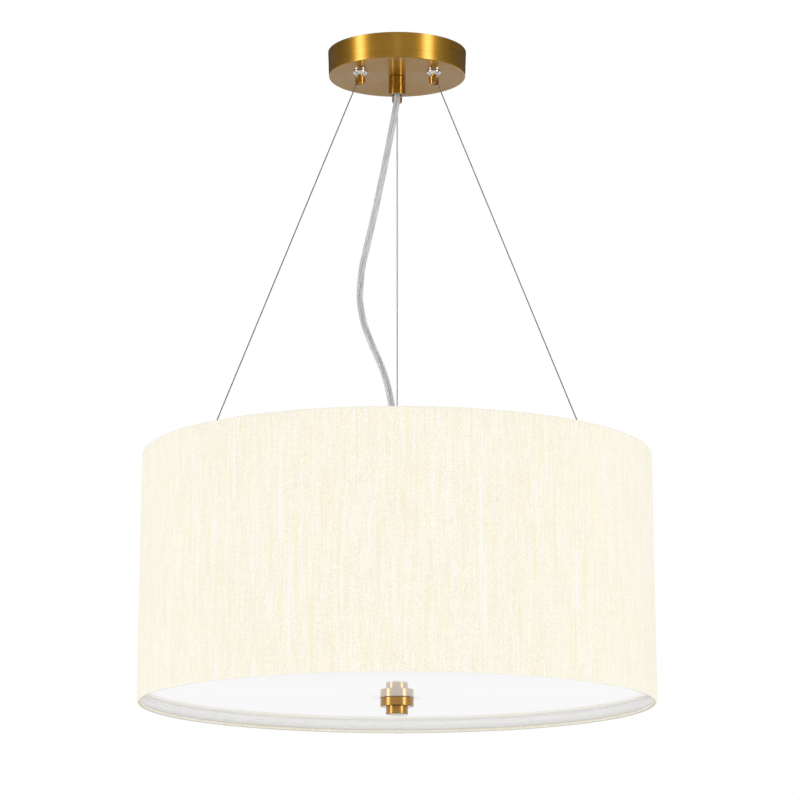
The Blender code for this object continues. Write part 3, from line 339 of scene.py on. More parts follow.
BRASS_DARK, BRASS_LIGHT = (0.51, 0.256, 0.018), (0.63, 0.328, 0.03)
SATIN_BRASS = turned_metal("satin_brass", BRASS_DARK, BRASS_LIGHT, 0.36, 0.05, 0.8, 1.0)
KNOB_BRASS = turned_metal("knob_brass", (0.34, 0.158, 0.008), (0.43, 0.208, 0.02), 0.3, 0.03, 0.5, 1.0)
GRIP_BRASS = turned_metal("grip_brass", (0.33, 0.15, 0.003), (0.43, 0.215, 0.008), 0.24, 0.03, 0.8, 1.0)
BRIGHT_BRASS = turned_metal("bright_brass", BRASS_DARK, BRASS_LIGHT, 0.18, 0.03, 0.5, 1.0)
CHROME = turned_metal("chrome", (0.86, 0.86, 0.87), (0.92, 0.92, 0.93), 0.05, 0.02, 0.0, 0.0, 0.0000005)
TURNED_STEEL = turned_metal("turned_steel", (0.42, 0.42, 0.42), (0.58, 0.58, 0.57), 0.34, 0.12)
STEEL = plain_metal("plated_steel", (0.44, 0.44, 0.45), (0.6, 0.6, 0.59), 0.36)
CAP_METAL = plain_metal("cap_metal", (0.52, 0.51, 0.5), (0.66, 0.65, 0.63), 0.3)
WIRE_STEEL = cored("wire_strands", (0.2, 0.197, 0.19), (0.44, 0.43, 0.41), 1.0, 0.34, 160.0)
CORE_METAL = cored("tinned_cores", (0.46, 0.45, 0.45), (0.8, 0.79, 0.79), 0.55, 0.34, 120.0)
WHITE_METAL = moulded(
    "white_powder_paint", (0.76, 0.75, 0.72), (0.83, 0.82, 0.79), 0.46, 1300.0, 0.00005,
)
WHITE_PLASTIC = moulded("white_moulding", (0.78, 0.77, 0.74), (0.84, 0.83, 0.8), 0.36, 1900.0)
DARK_PLASTIC = moulded("dark_moulding", (0.02, 0.02, 0.02), (0.045, 0.043, 0.042), 0.5)
LINER_WHITE = moulded(
    "liner_white", (0.975, 0.972, 0.968), (0.985, 0.983, 0.98), 0.6, 800.0, 0.000005, shine=0.1,
)
TAIL_SHEATH = moulded(
    "cord_tail_sheath", (0.6, 0.59, 0.6), (0.78, 0.77, 0.78), 0.3, 1500.0, 0.00001, 0.5,
)
LEAD_FINISHES = {
    "live": moulded("lead_brown", (0.17, 0.075, 0.03), (0.24, 0.11, 0.05), 0.42),
    "neutral": moulded("lead_blue", (0.02, 0.11, 0.38), (0.04, 0.17, 0.5), 0.42),
    "earth": moulded("lead_green_yellow", (0.3, 0.45, 0.05), (0.42, 0.56, 0.08), 0.42),
}
OPAL_ACRYLIC = opal_sheet("opal_acrylic", (0.928, 0.925, 0.929), (0.953, 0.95, 0.954), 0.05, 0.4)
OPAL_GLASS = opal_sheet("opal_glass", (0.86, 0.85, 0.83), (0.9, 0.89, 0.87), 0.12, 0.6)
CLOTH = slub_cloth()
SHEATH = clear_sheath()


def unit(vectors):
    """Vectors scaled to length one."""
    return vectors / np.maximum(np.linalg.norm(vectors, axis=-1, keepdims=True), 1e-12)


def lengths(line):
    """The length along a line up to each of its points."""
    return np.concatenate([[0], np.cumsum(np.linalg.norm(np.diff(line, axis=0), axis=1))])


def square_to(path):
    """Two directions at each point of a path, square to it and to each other, the first near +X."""
    ahead = unit(np.gradient(path, axis=0))
    across = unit(np.array([1.0, 0, 0]) - ahead * ahead[:, :1])
    return across, np.cross(ahead, across)


def outward(azimuth, distance=1.0, height=0.0):
    """The point at a distance from the lamp's axis, at an azimuth in degrees."""
    angle = math.radians(azimuth)
    return np.array([math.sin(angle) * distance, -math.cos(angle) * distance, height])


def filleted(corners, closed=False, steps=5):
    """The line through corners of (radius, height, fillet). Each corner becomes the arc that touches
    both of its sides: its two ends are turned into each other by the sine rule for equal angles."""
    table = np.array([(*corner, 0.0)[:3] for corner in corners])
    here, fillet = table[:, :2], table[:, 2]
    back, ahead = unit(np.roll(here, 1, 0) - here), unit(np.roll(here, -1, 0) - here)
    half = np.maximum(np.arccos(np.clip((back * ahead).sum(1), -1, 1)) / 2, 1e-6)
    centre = here + unit(back + ahead) * (fillet / np.sin(half))[:, None]
    reach = (fillet / np.tan(half))[:, None]
    first, last = here + back * reach - centre, here + ahead * reach - centre
    sweep = math.pi - 2 * half
    share = np.linspace(0, 1, steps + 1)[None, :]
    lever = np.maximum(np.sin(sweep), 1e-9)[:, None]
    start = np.sin((1 - share) * sweep[:, None]) / lever
    end = np.sin(share * sweep[:, None]) / lever
    points = centre[:, None] + start[..., None] * first[:, None] + end[..., None] * last[:, None]
    line = points.reshape(-1, 2)
    moved = np.linalg.norm(np.diff(line, axis=0), axis=1) > 1e-7
    line = line[np.concatenate([[True], moved])]
    return np.vstack([line, line[:1]]) if closed else line


def finely(line, step):
    """The same line with points added so that none are further apart than step."""
    line = np.asarray(line, float)
    along = lengths(line)
    even = np.linspace(0, along[-1], math.ceil(along[-1] / step) + 1)
    places = np.unique(np.concatenate([along, even]))
    return np.column_stack([np.interp(places, along, line[:, axis]) for axis in range(2)])


def made(name, points, uv, sharp=30.0, **grids):
    """A closed piece from a grid of points: one face per cell, doubled points merged, faces outwards.
    Each further grid of values becomes an attribute of that name."""
    rows, columns = points.shape[:2]
    index = np.arange(rows * columns).reshape(rows, columns)
    corners = [index[:-1, :-1], index[:-1, 1:], index[1:, 1:], index[1:, :-1]]
    cells = np.stack(corners, axis=-1).reshape(-1, 4)
    mesh = bpy.data.meshes.new(name)
    mesh.from_pydata(points.reshape(-1, 3), [], cells)
    layer = mesh.uv_layers.new(name="UVMap")
    layer.data.foreach_set("uv", uv.reshape(-1, 2)[cells.ravel()].astype(np.float32).ravel())
    for key, values in grids.items():
        attribute = mesh.attributes.new(key, "FLOAT", "POINT")
        attribute.data.foreach_set("value", values.astype(np.float32).ravel())
    weld(mesh)
    return shown(name, mesh, sharp)


def weld(mesh):
    """Merge doubled points and turn the faces outwards."""
    bm = bmesh.new()
    bm.from_mesh(mesh)
    bmesh.ops.remove_doubles(bm, verts=bm.verts, dist=1e-7)
    bmesh.ops.recalc_face_normals(bm, faces=bm.faces)
    bm.to_mesh(mesh)
    bm.free()


def linked(name, data):
    """A new object of the data, in the scene."""
    thing = bpy.data.objects.new(name, data)
    bpy.context.scene.collection.objects.link(thing)
    return thing


def shown(name, mesh, sharp=30.0):
    """An object of the mesh, smooth except across edges sharper than the angle in degrees."""
    mesh.shade_smooth()
    mesh.set_sharp_from_angle(angle=math.radians(sharp))
    return linked(name, mesh)


def revolved(line, around, shape=None, place=(0, 0, 0), turn=(0, 0, 0)):
    """Grid of a line of (radius, height) carried round the axis. At turn u the point is
    (-r sin 2 pi u, r cos 2 pi u, z); shape may change r and z from u, r and z. v is the length along
    the line. The grid is then turned and put in its place."""
    line = np.asarray(line, float)
    along = lengths(line)
    turns = np.broadcast_to(np.linspace(0, 1, around + 1)[None, :], (len(line), around + 1))
    radius = np.broadcast_to(line[:, :1], turns.shape)
    height = np.broadcast_to(line[:, 1:], turns.shape)
    if shape is not None:
        radius, height = shape(turns, radius, height)
    angle = math.tau * turns
    points = np.stack([-radius * np.sin(angle), radius * np.cos(angle), height], axis=-1)
    points = points @ np.array(Euler(turn).to_matrix()).T + np.array(place)
    return points, np.stack([turns, np.broadcast_to(along[:, None], turns.shape)], axis=-1)


def revolve(name, line, around=ROUND, shape=None, place=(0, 0, 0), turn=(0, 0, 0), sharp=30.0):
    """A turned piece, made of the line's grid round the axis, its flat faces shaded flat."""
    thing = made(name, *revolved(line, around, shape, place, turn), sharp)
    weigh(thing)
    return thing


def weigh(thing):
    """Let larger faces rule the shading, so that a flat face beside a fillet stays flat."""
    weighted = thing.modifiers.new("weighted_normals", "WEIGHTED_NORMAL")
    weighted.keep_sharp = True


def hexagon(turns):
    """Outline of a hexagon over its corner radius: cos 30 over the cosine of the angle from the
    middle of the nearest side."""
    side = math.pi / 3
    return math.cos(side / 2) / np.cos((math.tau * turns + side / 2) % side - side / 2)


def thread(low, high, pitch, depth, least):
    """Shape of a right-hand thread between two heights: r loses depth times twice the distance of
    z / pitch - u from the nearest half turn, and the groove runs out over one pitch at both ends."""
    def shape(turns, radius, height):
        groove = np.abs(2 * ((height / pitch - turns) % 1) - 1)
        fade = np.clip(np.minimum(height - low, high - height) / pitch, 0, 1)
        return radius - depth * groove * fade * (radius > least), height
    return shape


def tube(name, path, radius, around=24, lobes=0, depth=0.0, lay=0.0):
    """A closed tube: at angle a the point is path + R (A cos a + B sin a), A and B square to the path
    and A nearest to +X. Lobes wind round it by lay turns per metre, the grooves depth times R deep."""
    path = np.asarray(path, float)
    across, beside = square_to(path)
    along = lengths(path)
    turns = np.linspace(0, 1, around + 1)
    angle = math.tau * turns[None, :]
    lobe = 1 - np.abs(np.cos((angle - math.tau * lay * along[:, None]) * lobes / 2))
    reach = radius * (1 - depth * lobe)
    ring = across[:, None] * np.cos(angle)[..., None] + beside[:, None] * np.sin(angle)[..., None]
    body = path[:, None] + reach[..., None] * ring
    low, high = (np.broadcast_to(path[end, None, None], body[:1].shape) for end in (0, -1))
    points = np.concatenate([low, body, high])
    length = np.concatenate([[0], along, along[-1:]])
    uv = np.stack(np.broadcast_arrays(turns[None, :], length[:, None]), axis=-1)
    return made(name, points, uv, 50.0)


def smooth_route(points, step):
    """Evenly spaced points of the curve through the points, each span the cubic whose slope at a
    point is half the way between its neighbours."""
    knots = np.array(points)
    ends = np.vstack([2 * knots[0] - knots[1], knots, 2 * knots[-1] - knots[-2]])
    a, b, c, d = ends[:-3], ends[1:-2], ends[2:-1], ends[3:]
    t = np.linspace(0, 1, 24, endpoint=False)[None, :, None]
    a, b, c, d = (knot[:, None] for knot in (a, b, c, d))
    spans = b + (t * (c - a) + t**2 * (2 * a - 5 * b + 4 * c - d) + t**3 * (3 * b - a - 3 * c + d)) / 2
    fine = np.vstack([spans.reshape(-1, 3), knots[-1:]])
    along = lengths(fine)
    places = np.linspace(0, along[-1], round(along[-1] / step) + 1)
    return np.column_stack([np.interp(places, along, fine[:, axis]) for axis in range(3)])


def carve(thing, cutters):
    """Take closed cutters away from a piece, for good."""
    for cutter in cutters:
        boolean = thing.modifiers.new("cut", "BOOLEAN")
        boolean.operation = "DIFFERENCE"
        boolean.solver = "EXACT"
        boolean.object = cutter
    for modifier in [m for m in thing.modifiers if m.type != "BOOLEAN"]:
        thing.modifiers.remove(modifier)
    bpy.context.view_layer.update()
    carved = bpy.data.meshes.new_from_object(thing.evaluated_get(bpy.context.evaluated_depsgraph_get()))
    thing.modifiers.clear()
    thing.data = carved
    for cutter in cutters:
        bpy.data.objects.remove(cutter)
    carved.shade_smooth()
    carved.set_sharp_from_angle(angle=math.radians(30))
    weigh(thing)


def rod(radius, low, high, place=(0, 0, 0), turn=(0, 0, 0)):
    """A plain closed rod between two heights, used as a cutter."""
    line = [(0, low), (radius, low), (radius, high), (0, high)]
    return made("cutter", *revolved(line, CUTTER_ROUND, None, place, turn))


def dress(thing, material, slot, body, *nodes):
    """Give a piece its finish, its body and the solids that it stands for. The slot is not used."""
    thing.data.materials.clear()
    thing.data.materials.append(material)
    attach(thing, body)
    if nodes:
        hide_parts(*nodes)


def eased(name, node, width):
    """A copy of a solid with its triangles joined into flat faces and its edges rounded."""
    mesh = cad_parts[node].data.copy()
    bm = bmesh.new()
    bm.from_mesh(mesh)
    bmesh.ops.remove_doubles(bm, verts=bm.verts, dist=1e-6)
    bmesh.ops.dissolve_limit(bm, angle_limit=math.radians(1), verts=bm.verts, edges=bm.edges)
    plain = bpy.data.meshes.new(name)
    bm.to_mesh(plain)
    bm.free()
    if plain.attributes.get("custom_normal"):
        plain.attributes.remove(plain.attributes["custom_normal"])
    thing = shown(name, plain)
    bevel = thing.modifiers.new("eased_edges", "BEVEL")
    bevel.width = width
    bevel.segments = 3
    bevel.limit_method = "ANGLE"
    bevel.angle_limit = math.radians(40)
    bevel.harden_normals = True
    return thing


def make_camera():
    """The photograph's view: from in front and below the drum, looking slightly up."""
    camera = linked("camera", bpy.data.cameras.new("camera"))
    camera.data.lens = 159.01
    camera.data.sensor_width = 36.0
    camera.data.clip_end = 100.0
    camera.location = (0.0029, -3.402, -1.0638)
    camera.rotation_euler = (math.pi / 2 + 0.205046, 0.0, 0.0)
    bpy.context.scene.camera = camera


def heights(node):
    """The lowest and the highest z of a solid."""
    return [point.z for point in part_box(node)]


def shorten(thing):
    """Give a piece that hangs between two heights a mesh of its own."""
    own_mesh(thing)


def make_cord():
    """The clear power cord: its sheath, and three cores that wind round its middle line."""
    core_circle, core_radius, core_pitch = 0.0015, 0.00122, 0.085
    path = smooth_route(CORD_ROUTE, 0.002)
    sheath = tube("power_cord_sheath", path, CORD_RADIUS, 32)
    across, beside = square_to(path)
    along = np.linspace(0, 1, len(path))[:, None] * CORD_LENGTH
    cores = []
    for number in range(3):
        angle = math.tau * (along / core_pitch + number / 3)
        middle = path + core_circle * (across * np.cos(angle) + beside * np.sin(angle))
        cores.append(tube(f"power_cord_core_{number + 1}", middle[1:-1], core_radius, 20, 8, 0.1, 40.0))
    for thing in [sheath] + cores:
        dress(thing, SHEATH if thing is sheath else CORE_METAL, "clear_cord", "ceiling_mount")
        shorten(thing)
    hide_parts("power_cord")


def make_wires():
    """Three stranded steel wires, straight from the grippers to the arms. The six strands wind once
    round in six times the width of their bundle."""
    bundle_width = 0.0011
    for name, azimuth in ARM_PLACES.items():
        node = "suspension_wire_" + name
        start = outward(azimuth, GRIPPER_CIRCLE, WIRE_TOP)
        end = outward(azimuth, WIRE_FOOT_RADIUS, WIRE_END)
        path = start + np.linspace(0, 1, 600)[:, None] * (end - start)
        wire = tube(f"stranded_wire_{name}", path, WIRE_RADIUS, 24, 6, 0.16, 1 / (6 * bundle_width))
        dress(wire, WIRE_STEEL, "steel", "ceiling_mount", node)
        shorten(wire)


def make_nut(name, node, corner, bore, body, place=(0, 0)):
    """A steel hexagon nut, its corners cut by a cone at both faces: r is the lesser of the hexagon
    and a cone that starts inside its flats at each face and widens by 1.73 for each unit of depth."""
    low, high = heights(node)
    depth = np.array([0, 0.02, 0.04, 0.06, 0.08, 0.1]) * corner
    outer = [(corner, z) for z in (*(low + depth), *(high - depth[::-1]))]
    line = np.array(outer + [(bore, high), (bore, low), outer[0]])

    def shape(turns, radius, height):
        inner = np.minimum(height - low, high - height)
        cone = corner * 0.83 + inner * 1.73
        clipped = np.minimum(radius * hexagon(turns), cone)
        return np.where(radius > bore * 1.01, clipped, radius), height

    nut = revolve(name, line, ROUND, shape, (*place, 0))
    dress(nut, STEEL, "steel", body, node)


def make_canopy():
    """The canopy's spun cup, drilled for its side screws, the cord grip and the three grippers."""
    rim, face, floor = -0.0003, -0.0261, -0.0249
    line = filleted([
        (CANOPY_RADIUS, rim, 0.0002), (0.0683, face, 0.001), (0.0053, face, 0.0001), (0.0053, floor),
        (0.0671, floor, 0.0004), (0.068, rim),
    ], closed=True, steps=8)
    canopy = revolve("canopy_cup", line, 192)
    cutters = [
        rod(0.0043, face - 0.002, floor + 0.002, outward(azimuth, GRIPPER_CIRCLE))
        for azimuth in ARM_PLACES.values()
    ]
    for sign in (-1, 1):
        place = (sign * CANOPY_RADIUS, 0, CANOPY_SCREW_HEIGHT)
        cutters.append(rod(0.0023, -0.0035, 0.002, place, (0, sign * math.pi / 2, 0)))
    carve(canopy, cutters)
    dress(canopy, SATIN_BRASS, "satin_brass", "ceiling_mount", "canopy")


def make_grub_screw(name, node, radius, base, tip, place, turn, body):
    """A headless screw with a hexagon socket: the innermost rings follow a hexagon."""
    socket = radius * 0.58
    line = filleted([
        (0, tip - radius * 0.7), (socket, tip - radius * 0.7), (socket, tip),
        (radius, tip, radius * 0.15), (radius, base, radius * 0.15), (0, base),
    ])

    def shape(turns, r, z):
        return np.where(r < socket * 1.01, r * hexagon(turns), r), z

    screw = revolve(name, line, SMALL_ROUND, shape, place, turn)
    dress(screw, SATIN_BRASS, "satin_brass", body, node)


def make_canopy_screws():
    """The two headless screws that hold the canopy to its bracket."""
    for side, sign in (("left", -1), ("right", 1)):
        low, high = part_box("canopy_screw_" + side)
        reach = max(abs(low.x), abs(high.x))
        make_grub_screw(
            f"canopy_grub_screw_{side}", "canopy_screw_" + side, 0.002, -0.006, 0,
            (sign * reach, 0, CANOPY_SCREW_HEIGHT), (0, sign * math.pi / 2, 0), "ceiling_mount",
        )


def make_cord_grip():
    """The brass barrel under the canopy, its threaded stem, bush, nut and side screw."""
    line = filleted([
        (0.005, -0.0159, 0.0004), (0.005, -0.0264), (0.0086, -0.0264, 0.0002),
        (0.0086, -0.0446, 0.0007), (0.0046, -0.0446, 0.0002), (0.0046, -0.0346),
        (0.00355, -0.0346), (0.00355, -0.0159),
    ], closed=True)
    threaded = thread(-0.0263, -0.0161, 0.001, 0.0004, 0.0049)
    grip = revolve("cord_grip_barrel", finely(line, 0.0002), ROUND, threaded)
    carve(grip, [rod(0.0018, 0.0043, 0.0105, (0, 0, -0.0392), (math.pi / 2, 0, math.pi))])
    dress(grip, GRIP_BRASS, "satin_brass", "ceiling_mount", "cord_grip")
    bush = filleted([
        (0.0043, -0.0349), (0.0043, -0.0438, 0.0002), (0.00355, -0.0438, 0.0002), (0.00355, -0.0349),
    ], closed=True)
    bush = revolve("cord_grip_bush_ring", bush, ROUND)
    dress(bush, DARK_PLASTIC, "dark_plastic", "ceiling_mount", "cord_grip_bush")
    make_nut("cord_grip_lock_nut", "cord_grip_nut", 0.0081, 0.0053, "ceiling_mount")
    low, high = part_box("cord_grip_screw")
    make_grub_screw(
        "cord_grip_grub_screw", "cord_grip_screw", 0.0015, 0.0046, high.y, (0, 0, (low.z + high.z) / 2),
        (math.pi / 2, 0, math.pi), "ceiling_mount",
    )


def slot_cutter(place, turn):
    """The prism taken away for the plunger's slot: narrow round the wire, wider at its outer side."""
    half, mouth, deep = 0.0011, 0.0046, 0.007
    outline = np.array([
        (-half, half), (-half, 0), (-mouth, -deep), (mouth, -deep), (half, 0), (half, half),
    ])
    levels = np.array([-0.0422, -0.0222])
    corners = np.concatenate([np.column_stack([outline, np.full(len(outline), z)]) for z in levels])
    corners = corners @ np.array(Euler(turn).to_matrix()).T + place
    count = len(outline)
    ring = np.arange(count)
    following = (ring + 1) % count
    sides = [ring.tolist(), (ring[::-1] + count).tolist()]
    sides += np.column_stack([ring, following, following + count, ring + count]).tolist()
    mesh = bpy.data.meshes.new("slot_cutter")
    mesh.from_pydata(corners, [], sides)
    weld(mesh)
    return shown("slot_cutter", mesh)


def make_grippers():
    """Three wire grippers: a chrome cone with threaded stem and nut, and a slotted brass plunger."""
    cone = filleted([
        (0, -0.0124), (0.004, -0.0124, 0.0005), (0.004, -0.0264), (0.0072, -0.0264, 0.00015),
        (0.0072, -0.0277, 0.0002), (0.0036, -0.0306, 0.00025), (0.0023, -0.0306, 0.0001),
        (0.0023, -0.0224), (0, -0.0224),
    ])
    barrel = filleted([
        (0, -0.0242), (0.002, -0.0242, 0.0002), (0.002, -0.0324), (0.005, -0.0324, 0.0003),
        (0.005, -0.0402, 0.0012), (0, -0.0402),
    ])
    for name, azimuth in ARM_PLACES.items():
        place = outward(azimuth, GRIPPER_CIRCLE)
        turn = (0, 0, math.radians(azimuth))
        collar = revolve(
            f"gripper_collar_{name}", finely(cone, 0.0002), 64,
            thread(-0.0263, -0.0126, 0.001, 0.0004, 0.0039), place, turn,
        )
        dress(collar, CHROME, "chrome", "ceiling_mount", "gripper_" + name)
        make_nut(
            f"gripper_lock_nut_{name}", "gripper_nut_" + name, 0.007, 0.0043, "ceiling_mount",
            tuple(place[:2]),
        )
        plunger = revolve(f"release_plunger_{name}", barrel, 64, None, place, turn)
        carve(plunger, [slot_cutter(place, turn)])
        dress(plunger, BRIGHT_BRASS, "bright_brass", "release_" + name, "gripper_plunger_" + name)


def make_ceiling_fittings():
    """What the canopy hides: the strap, the terminal block, the cord's end and its three leads."""
    strap = eased("ceiling_strap", "ceiling_bracket", 0.0003)
    dress(strap, STEEL, "steel", "ceiling_mount", "ceiling_bracket")
    block = eased("terminal_housing", "terminal_block", 0.0003)
    dress(block, WHITE_PLASTIC, "white_plastic", "ceiling_mount", "terminal_block")
    kept("cord_tail", TAIL_SHEATH)
    for name, material in LEAD_FINISHES.items():
        kept("lead_" + name, material)


def kept(node, material):
    """A solid whose shape is right keeps it, and gets a better material."""
    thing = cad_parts[node]
    for slot in thing.material_slots:
        slot.material = material


def make_shade():
    """The cloth, the stiff liner inside it, and the two wire rings in its rolled edges."""
    hem, thick, liner_out, liner_in = 0.0019, 0.0003, 0.00032, 0.0006
    top, foot = (SHADE_TOP_RADIUS - hem, -0.4132 - hem), (SHADE_FOOT_RADIUS - hem, -0.6568 + hem)

    def cloth_line(radius, wall_rows, curl_rows):
        """Up and round the top ring, then down the wall and round the foot ring, at one depth."""
        curl = np.radians(np.linspace(0, 300, curl_rows))
        upper = np.column_stack([top[0] + radius * np.cos(curl), top[1] + radius * np.sin(curl)])[::-1]
        lower = np.column_stack([foot[0] + radius * np.cos(curl), foot[1] - radius * np.sin(curl)])
        share = np.linspace(0, 1, wall_rows + 2)[1:-1, None]
        return np.vstack([upper, upper[-1] + share * (lower[0] - upper[-1]), lower])

    outer, inner = cloth_line(hem, 24, 9), cloth_line(hem - thick, 1, 5)
    line = np.vstack([outer, inner[::-1], outer[:1]])
    points, uv = revolved(line, SHADE_ROUND)
    ribs, slub = slub_heights(points[: len(outer)])
    ahead = np.gradient(outer, axis=0)
    facing = unit(np.column_stack([-ahead[:, 1], ahead[:, 0]]))
    angle = np.linspace(0, math.tau, SHADE_ROUND + 1)[None, :]
    push = np.stack([
        -facing[:, :1] * np.sin(angle), facing[:, :1] * np.cos(angle),
        np.broadcast_to(facing[:, 1:], (len(outer), SHADE_ROUND + 1)),
    ], axis=-1)
    points[: len(outer)] += push * ribs[..., None]
    points[-1] = points[0]
    tone = np.zeros(points.shape[:2])
    tone[: len(outer)] = slub
    cloth = made("shade_cloth", points, uv, 60.0, slub=tone)
    dress(cloth, CLOTH, "cream_fabric", "shade_unit")
    liner = [
        (SHADE_TOP_RADIUS - liner_out, top[1]), (SHADE_FOOT_RADIUS - liner_out, foot[1]),
        (SHADE_FOOT_RADIUS - liner_in, foot[1]), (SHADE_TOP_RADIUS - liner_in, top[1]),
    ]
    liner = revolve("shade_liner", finely(filleted(liner, closed=True), 0.02), LINER_ROUND)
    dress(liner, LINER_WHITE, "cream_fabric", "shade_unit")
    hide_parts("shade_fabric")
    for node in ("shade_top_ring", "shade_bottom_ring"):
        kept(node, STEEL)


def slub_heights(points):
    """Height and tone of the cloth's ribs at a grid of points round the wall: each slub adds a bell
    across its width times a flat-topped bell along its length, as height and, with the sign of a
    yellow or a pale slub, as tone. The rear seam is a step in the height that fades in."""
    draw = np.random.default_rng(41)
    count, rib_rise, seam_rise, seam_fade, seam_end = 420, 0.00012, 0.00028, 0.012, 0.003
    per_turn = math.tau * 0.25
    place, middle = draw.uniform(0, 1, count), draw.uniform(-0.66, -0.41, count)
    width, length = draw.uniform(0.0007, 0.0015, count), draw.uniform(0.01, 0.055, count)
    rise = draw.uniform(0.25, 1.0, count)
    sign = np.where(draw.uniform(0, 1, count) < 0.55, 1.0, -1.0)
    columns = points.shape[1]
    turns = np.linspace(0, 1, columns)[None, :]
    height = points[..., 2].mean(1)
    gap = (np.abs(turns - place[:, None]) + 0.5) % 1 - 0.5
    across = np.exp(-((gap * per_turn / width[:, None]) ** 2)) * rise[:, None]
    lengthwise = np.exp(-(((height[:, None] - middle) / length) ** 4))
    round_rear = ((turns + 0.5) % 1 - 0.5) * per_turn
    seam = np.clip((round_rear + seam_fade) / seam_fade, 0, 1) * (round_rear < seam_end)
    return lengthwise @ across * rib_rise + seam_rise * seam, lengthwise @ (across * sign[:, None])


def cross_cutters(place, low, high):
    """Two bars that cross, wider at the top, which take away a screw's recess."""
    line = [(0, low), (0.0022, low), (0.0026, high), (0, high)]

    def bar(side):
        return lambda turns, r, z: (r * np.where((turns * 4 + side) % 2 < 1, 1.0, 0.16), z)

    return [made("cutter", *revolved(line, 4, bar(side), place)) for side in (0, 1)]


def make_carrier():
    """Arms, hub, gland and screws that hang the drum on its wires."""
    for name, azimuth in ARM_PLACES.items():
        arm = eased(f"carrier_arm_{name}", "arm_" + name, 0.0004)
        dress(arm, WHITE_METAL, "white_metal", "shade_unit", "arm_" + name)
        low = heights("arm_screw_" + name)[0]
        head = low + 0.009
        line = filleted([
            (0, head + 0.0022), (0.0036, head + 0.0022, 0.0014), (0.0036, head, 0.0002),
            (0.002, head), (0.002, low, 0.0004), (0, low),
        ])
        place = outward(azimuth, ARM_SCREW_CIRCLE)
        screw = revolve(f"carrier_screw_{name}", line, SMALL_ROUND, None, place)
        carve(screw, cross_cutters(place, head + 0.0008, head + 0.003))
        dress(screw, TURNED_STEEL, "steel", "shade_unit", "arm_screw_" + name)
        low, high = heights("wire_stop_" + name)
        line = filleted([(0, high), (0.0026, high, 0.0008), (0.0026, low, 0.0008), (0, low)])

        def crimped(turns, r, z, low=low, high=high):
            """Two crimps: r loses a bell round each of two heights, deeper on two sides."""
            share = (z - low) / (high - low)
            bell = np.exp(-(((share - 0.3) / 0.09) ** 2)) + np.exp(-(((share - 0.7) / 0.09) ** 2))
            return r * (1 - 0.16 * bell * (0.6 + 0.4 * np.cos(2 * math.tau * turns))), z

        place = outward(azimuth, WIRE_FOOT_RADIUS)
        stop = revolve(f"crimped_stop_{name}", finely(line, 0.0003), SMALL_ROUND, crimped, place)
        dress(stop, TURNED_STEEL, "steel", "shade_unit", "wire_stop_" + name)
    line = filleted([
        (0.0063, -0.4175), (0.038, -0.4175, 0.0005), (0.038, -0.415, 0.0008), (0.0063, -0.415, 0.0002),
    ], closed=True)
    dress(revolve("hub_top_plate", line), WHITE_METAL, "white_metal", "shade_unit", "hub_plate")
    line = filleted([
        (0.0063, -0.4206, 0.0002), (0.033, -0.4206, 0.002), (0.033, -0.4826, 0.0004),
        (0.0315, -0.4826), (0.0315, -0.4221, 0.0005), (0.0063, -0.4221),
    ], closed=True)
    hub = revolve("hub_housing", line)
    carve(hub, [
        rod(0.0053, 0.029, 0.035, (0, 0, HOLDER_HEIGHT), (math.pi / 2, 0, math.radians(azimuth)))
        for azimuth in HOLDER_PLACES.values()
    ])
    dress(hub, WHITE_METAL, "white_metal", "shade_unit", "hub_body")
    line = filleted([
        (0.0053, -0.4829), (0.033, -0.4829, 0.0003), (0.033, -0.4849, 0.0008), (0.0053, -0.4849),
    ], closed=True)
    dress(revolve("hub_bottom_plate", line), WHITE_METAL, "white_metal", "shade_unit", "hub_base")
    line = filleted([
        (0.0055, -0.4042, 0.0008), (0.008, -0.4107, 0.0006), (0.009, -0.4107), (0.009, -0.4147, 0.0002),
        (0.006, -0.4147), (0.006, -0.4175), (0.00355, -0.4175), (0.00355, -0.4042, 0.0004),
    ], closed=True)

    def gland_form(turns, r, z):
        """The flange is a hexagon, and the nut above it is fluted."""
        flute = r - 0.0003 * (np.cos(math.tau * turns * 16) < 0) * (z > -0.4105) * (z < -0.4052)
        wall = np.where(r > 0.005, flute, r)
        return np.where((r > 0.0085) & (z < -0.41), r * hexagon(turns), wall), z

    gland = revolve("cord_gland_nut", finely(line, 0.0004), ROUND, gland_form)
    dress(gland, WHITE_PLASTIC, "white_plastic", "shade_unit", "cord_gland")


